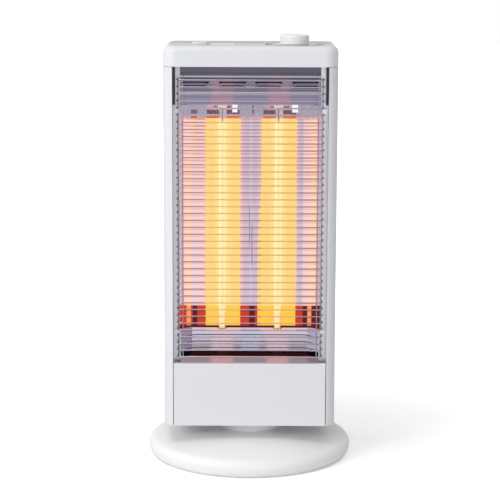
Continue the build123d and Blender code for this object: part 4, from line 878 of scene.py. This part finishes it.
# %% Uprights and the whole guard
weld_depth = 0.00015
face_place = (side_x - 0.0085, front_y + wire_radius + upright_radius - weld_depth)
leg_place = (side_x - wire_radius - upright_radius + weld_depth, back_y - 0.004)
rod_line = guard.add("GeometryNodeCurvePrimitiveLine", None,
                     {"End": combine(guard, z=guard.size("Upright height"))})
round_rod = guard.add("GeometryNodeCurvePrimitiveCircle", None,
                      {"Resolution": 10, "Radius": guard.size("Upright radius")})
rod = guard.add("GeometryNodeCurveToMesh", None,
                {"Curve": rod_line, "Profile Curve": round_rod, "Fill Caps": True})
rods = [guard.add("GeometryNodeTransform", None, {"Geometry": rod, "Translation": (side * x, y, low.z)})
        for side in (-1, 1) for x, y in (face_place, leg_place)]
joined = guard.add("GeometryNodeJoinGeometry")
for part in [wires] + rods:
    guard.connect(joined.socket.node.inputs[0], part)
guard.finish(joined, bpy.data.materials["wire_nickel"])

corners = [(-side_x, back_y, guard_top), (-side_x, front_y, guard_top),
           (side_x, front_y, guard_top), (side_x, back_y, guard_top)]
one_wire = start_points("one_wire", corners, [(0, 1), (1, 2), (2, 3)])
wire_guard = guard.build(one_wire, "heater_body", "guard_chrome")
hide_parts("front_guard")
print("uprights:", len(rods))

# %% [markdown]
# ## Louvre blades at the back
# Each vent in the rear shell has a thin blade that slants down and inwards, so that air rises
# out and a finger or a pin can't go straight in. One flat bar is tilted once and then placed on
# a point for each vent.

# %% Louvre blades
shell_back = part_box("rear_shell")[1].y
blade_length = 0.0838
blade_depth = 0.0034
blade_thickness = 0.0009
blade_tilt = 38.0
blade_inset = 0.00245
vent_pitch = 0.009
vent_x = 0.050
vent_rows = ((0.5257, 11), (0.1252, 5))
levels = [top - k * vent_pitch for top, count in vent_rows for k in range(count)]
places = [(side * vent_x, shell_back - blade_inset, level) for side in (-1, 1) for level in levels]

louvre = Recipe("louvre_blades", {"Blade length": blade_length, "Blade depth": blade_depth,
                                  "Blade thickness": blade_thickness, "Tilt": math.radians(blade_tilt)})
bar = louvre.add("GeometryNodeMeshCube", None,
                 {"Size": combine(louvre, louvre.size("Blade length"), louvre.size("Blade depth"),
                                  louvre.size("Blade thickness"))})
tilted = louvre.add("GeometryNodeTransform", None,
                    {"Geometry": bar, "Rotation": combine(louvre, louvre.size("Tilt"))})
blades = louvre.add("GeometryNodeInstanceOnPoints", None,
                    {"Points": louvre.size("Geometry"), "Instance": tilted})
louvre.finish(blades, shell_white, smooth=False)
louvre.build(start_points("vent_places", places), "heater_body", "white_plastic")
print("louvre blades:", len(places))

# %% [markdown]
# ## Marks on the dial ring
# The knob turns a quarter turn through four settings. The real print is left out, and four plain
# grey ticks stand in its place. Each tick's angle comes from its index, so the tree needs only
# the first angle and the step between two ticks.

# %% Dial ticks
ring_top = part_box("dial_ring")[1].z
tick_count = 4
tick_radius = 0.0275
tick_length, tick_width, tick_height = 0.0045, 0.0008, 0.0001
tick_grey = Finish("tick_grey", {"Specular IOR Level": 0.3})
ink = tick_grey.noise(1500.0, 2.0)
tick_grey.feed("Base Color", tick_grey.blend(paint(96, 98, 102), paint(112, 114, 118), ink))
tick_grey.feed("Roughness", ink * 0.2 + 0.45)

ticks = Recipe("dial_ticks", {"Count": tick_count, "Center X": knob_center.x, "Center Y": knob_center.y,
                              "Height": ring_top, "Radius": tick_radius, "First angle": math.pi,
                              "Step": math.radians(30), "Tick length": tick_length})
spot = ticks.add("GeometryNodeMeshLine", None, {"Count": ticks.size("Count")})
number = ticks.add("GeometryNodeInputIndex")
angle = ticks.size("First angle") + number * ticks.size("Step")
tick_x = ticks.size("Center X") + ticks.size("Radius") * angle.through("COSINE")
tick_y = ticks.size("Center Y") + ticks.size("Radius") * angle.through("SINE")
around = ticks.add("GeometryNodeSetPosition", None,
                   {"Geometry": spot, "Position": combine(ticks, tick_x, tick_y, ticks.size("Height"))})
mark = ticks.add("GeometryNodeMeshCube", None,
                 {"Size": combine(ticks, ticks.size("Tick length"), tick_width, tick_height)})
turned = combine(ticks, z=angle)
marks = ticks.add("GeometryNodeInstanceOnPoints", None,
                  {"Points": around, "Instance": mark, "Rotation": turned})
ticks.finish(marks, tick_grey.material, smooth=False)
ticks.build(start_points("tick_start", [(0, 0, 0)]), "heater_body", "dial_plastic")

# %% [markdown]
# ## Finish

# %% Finish
bpy.context.view_layer.update()
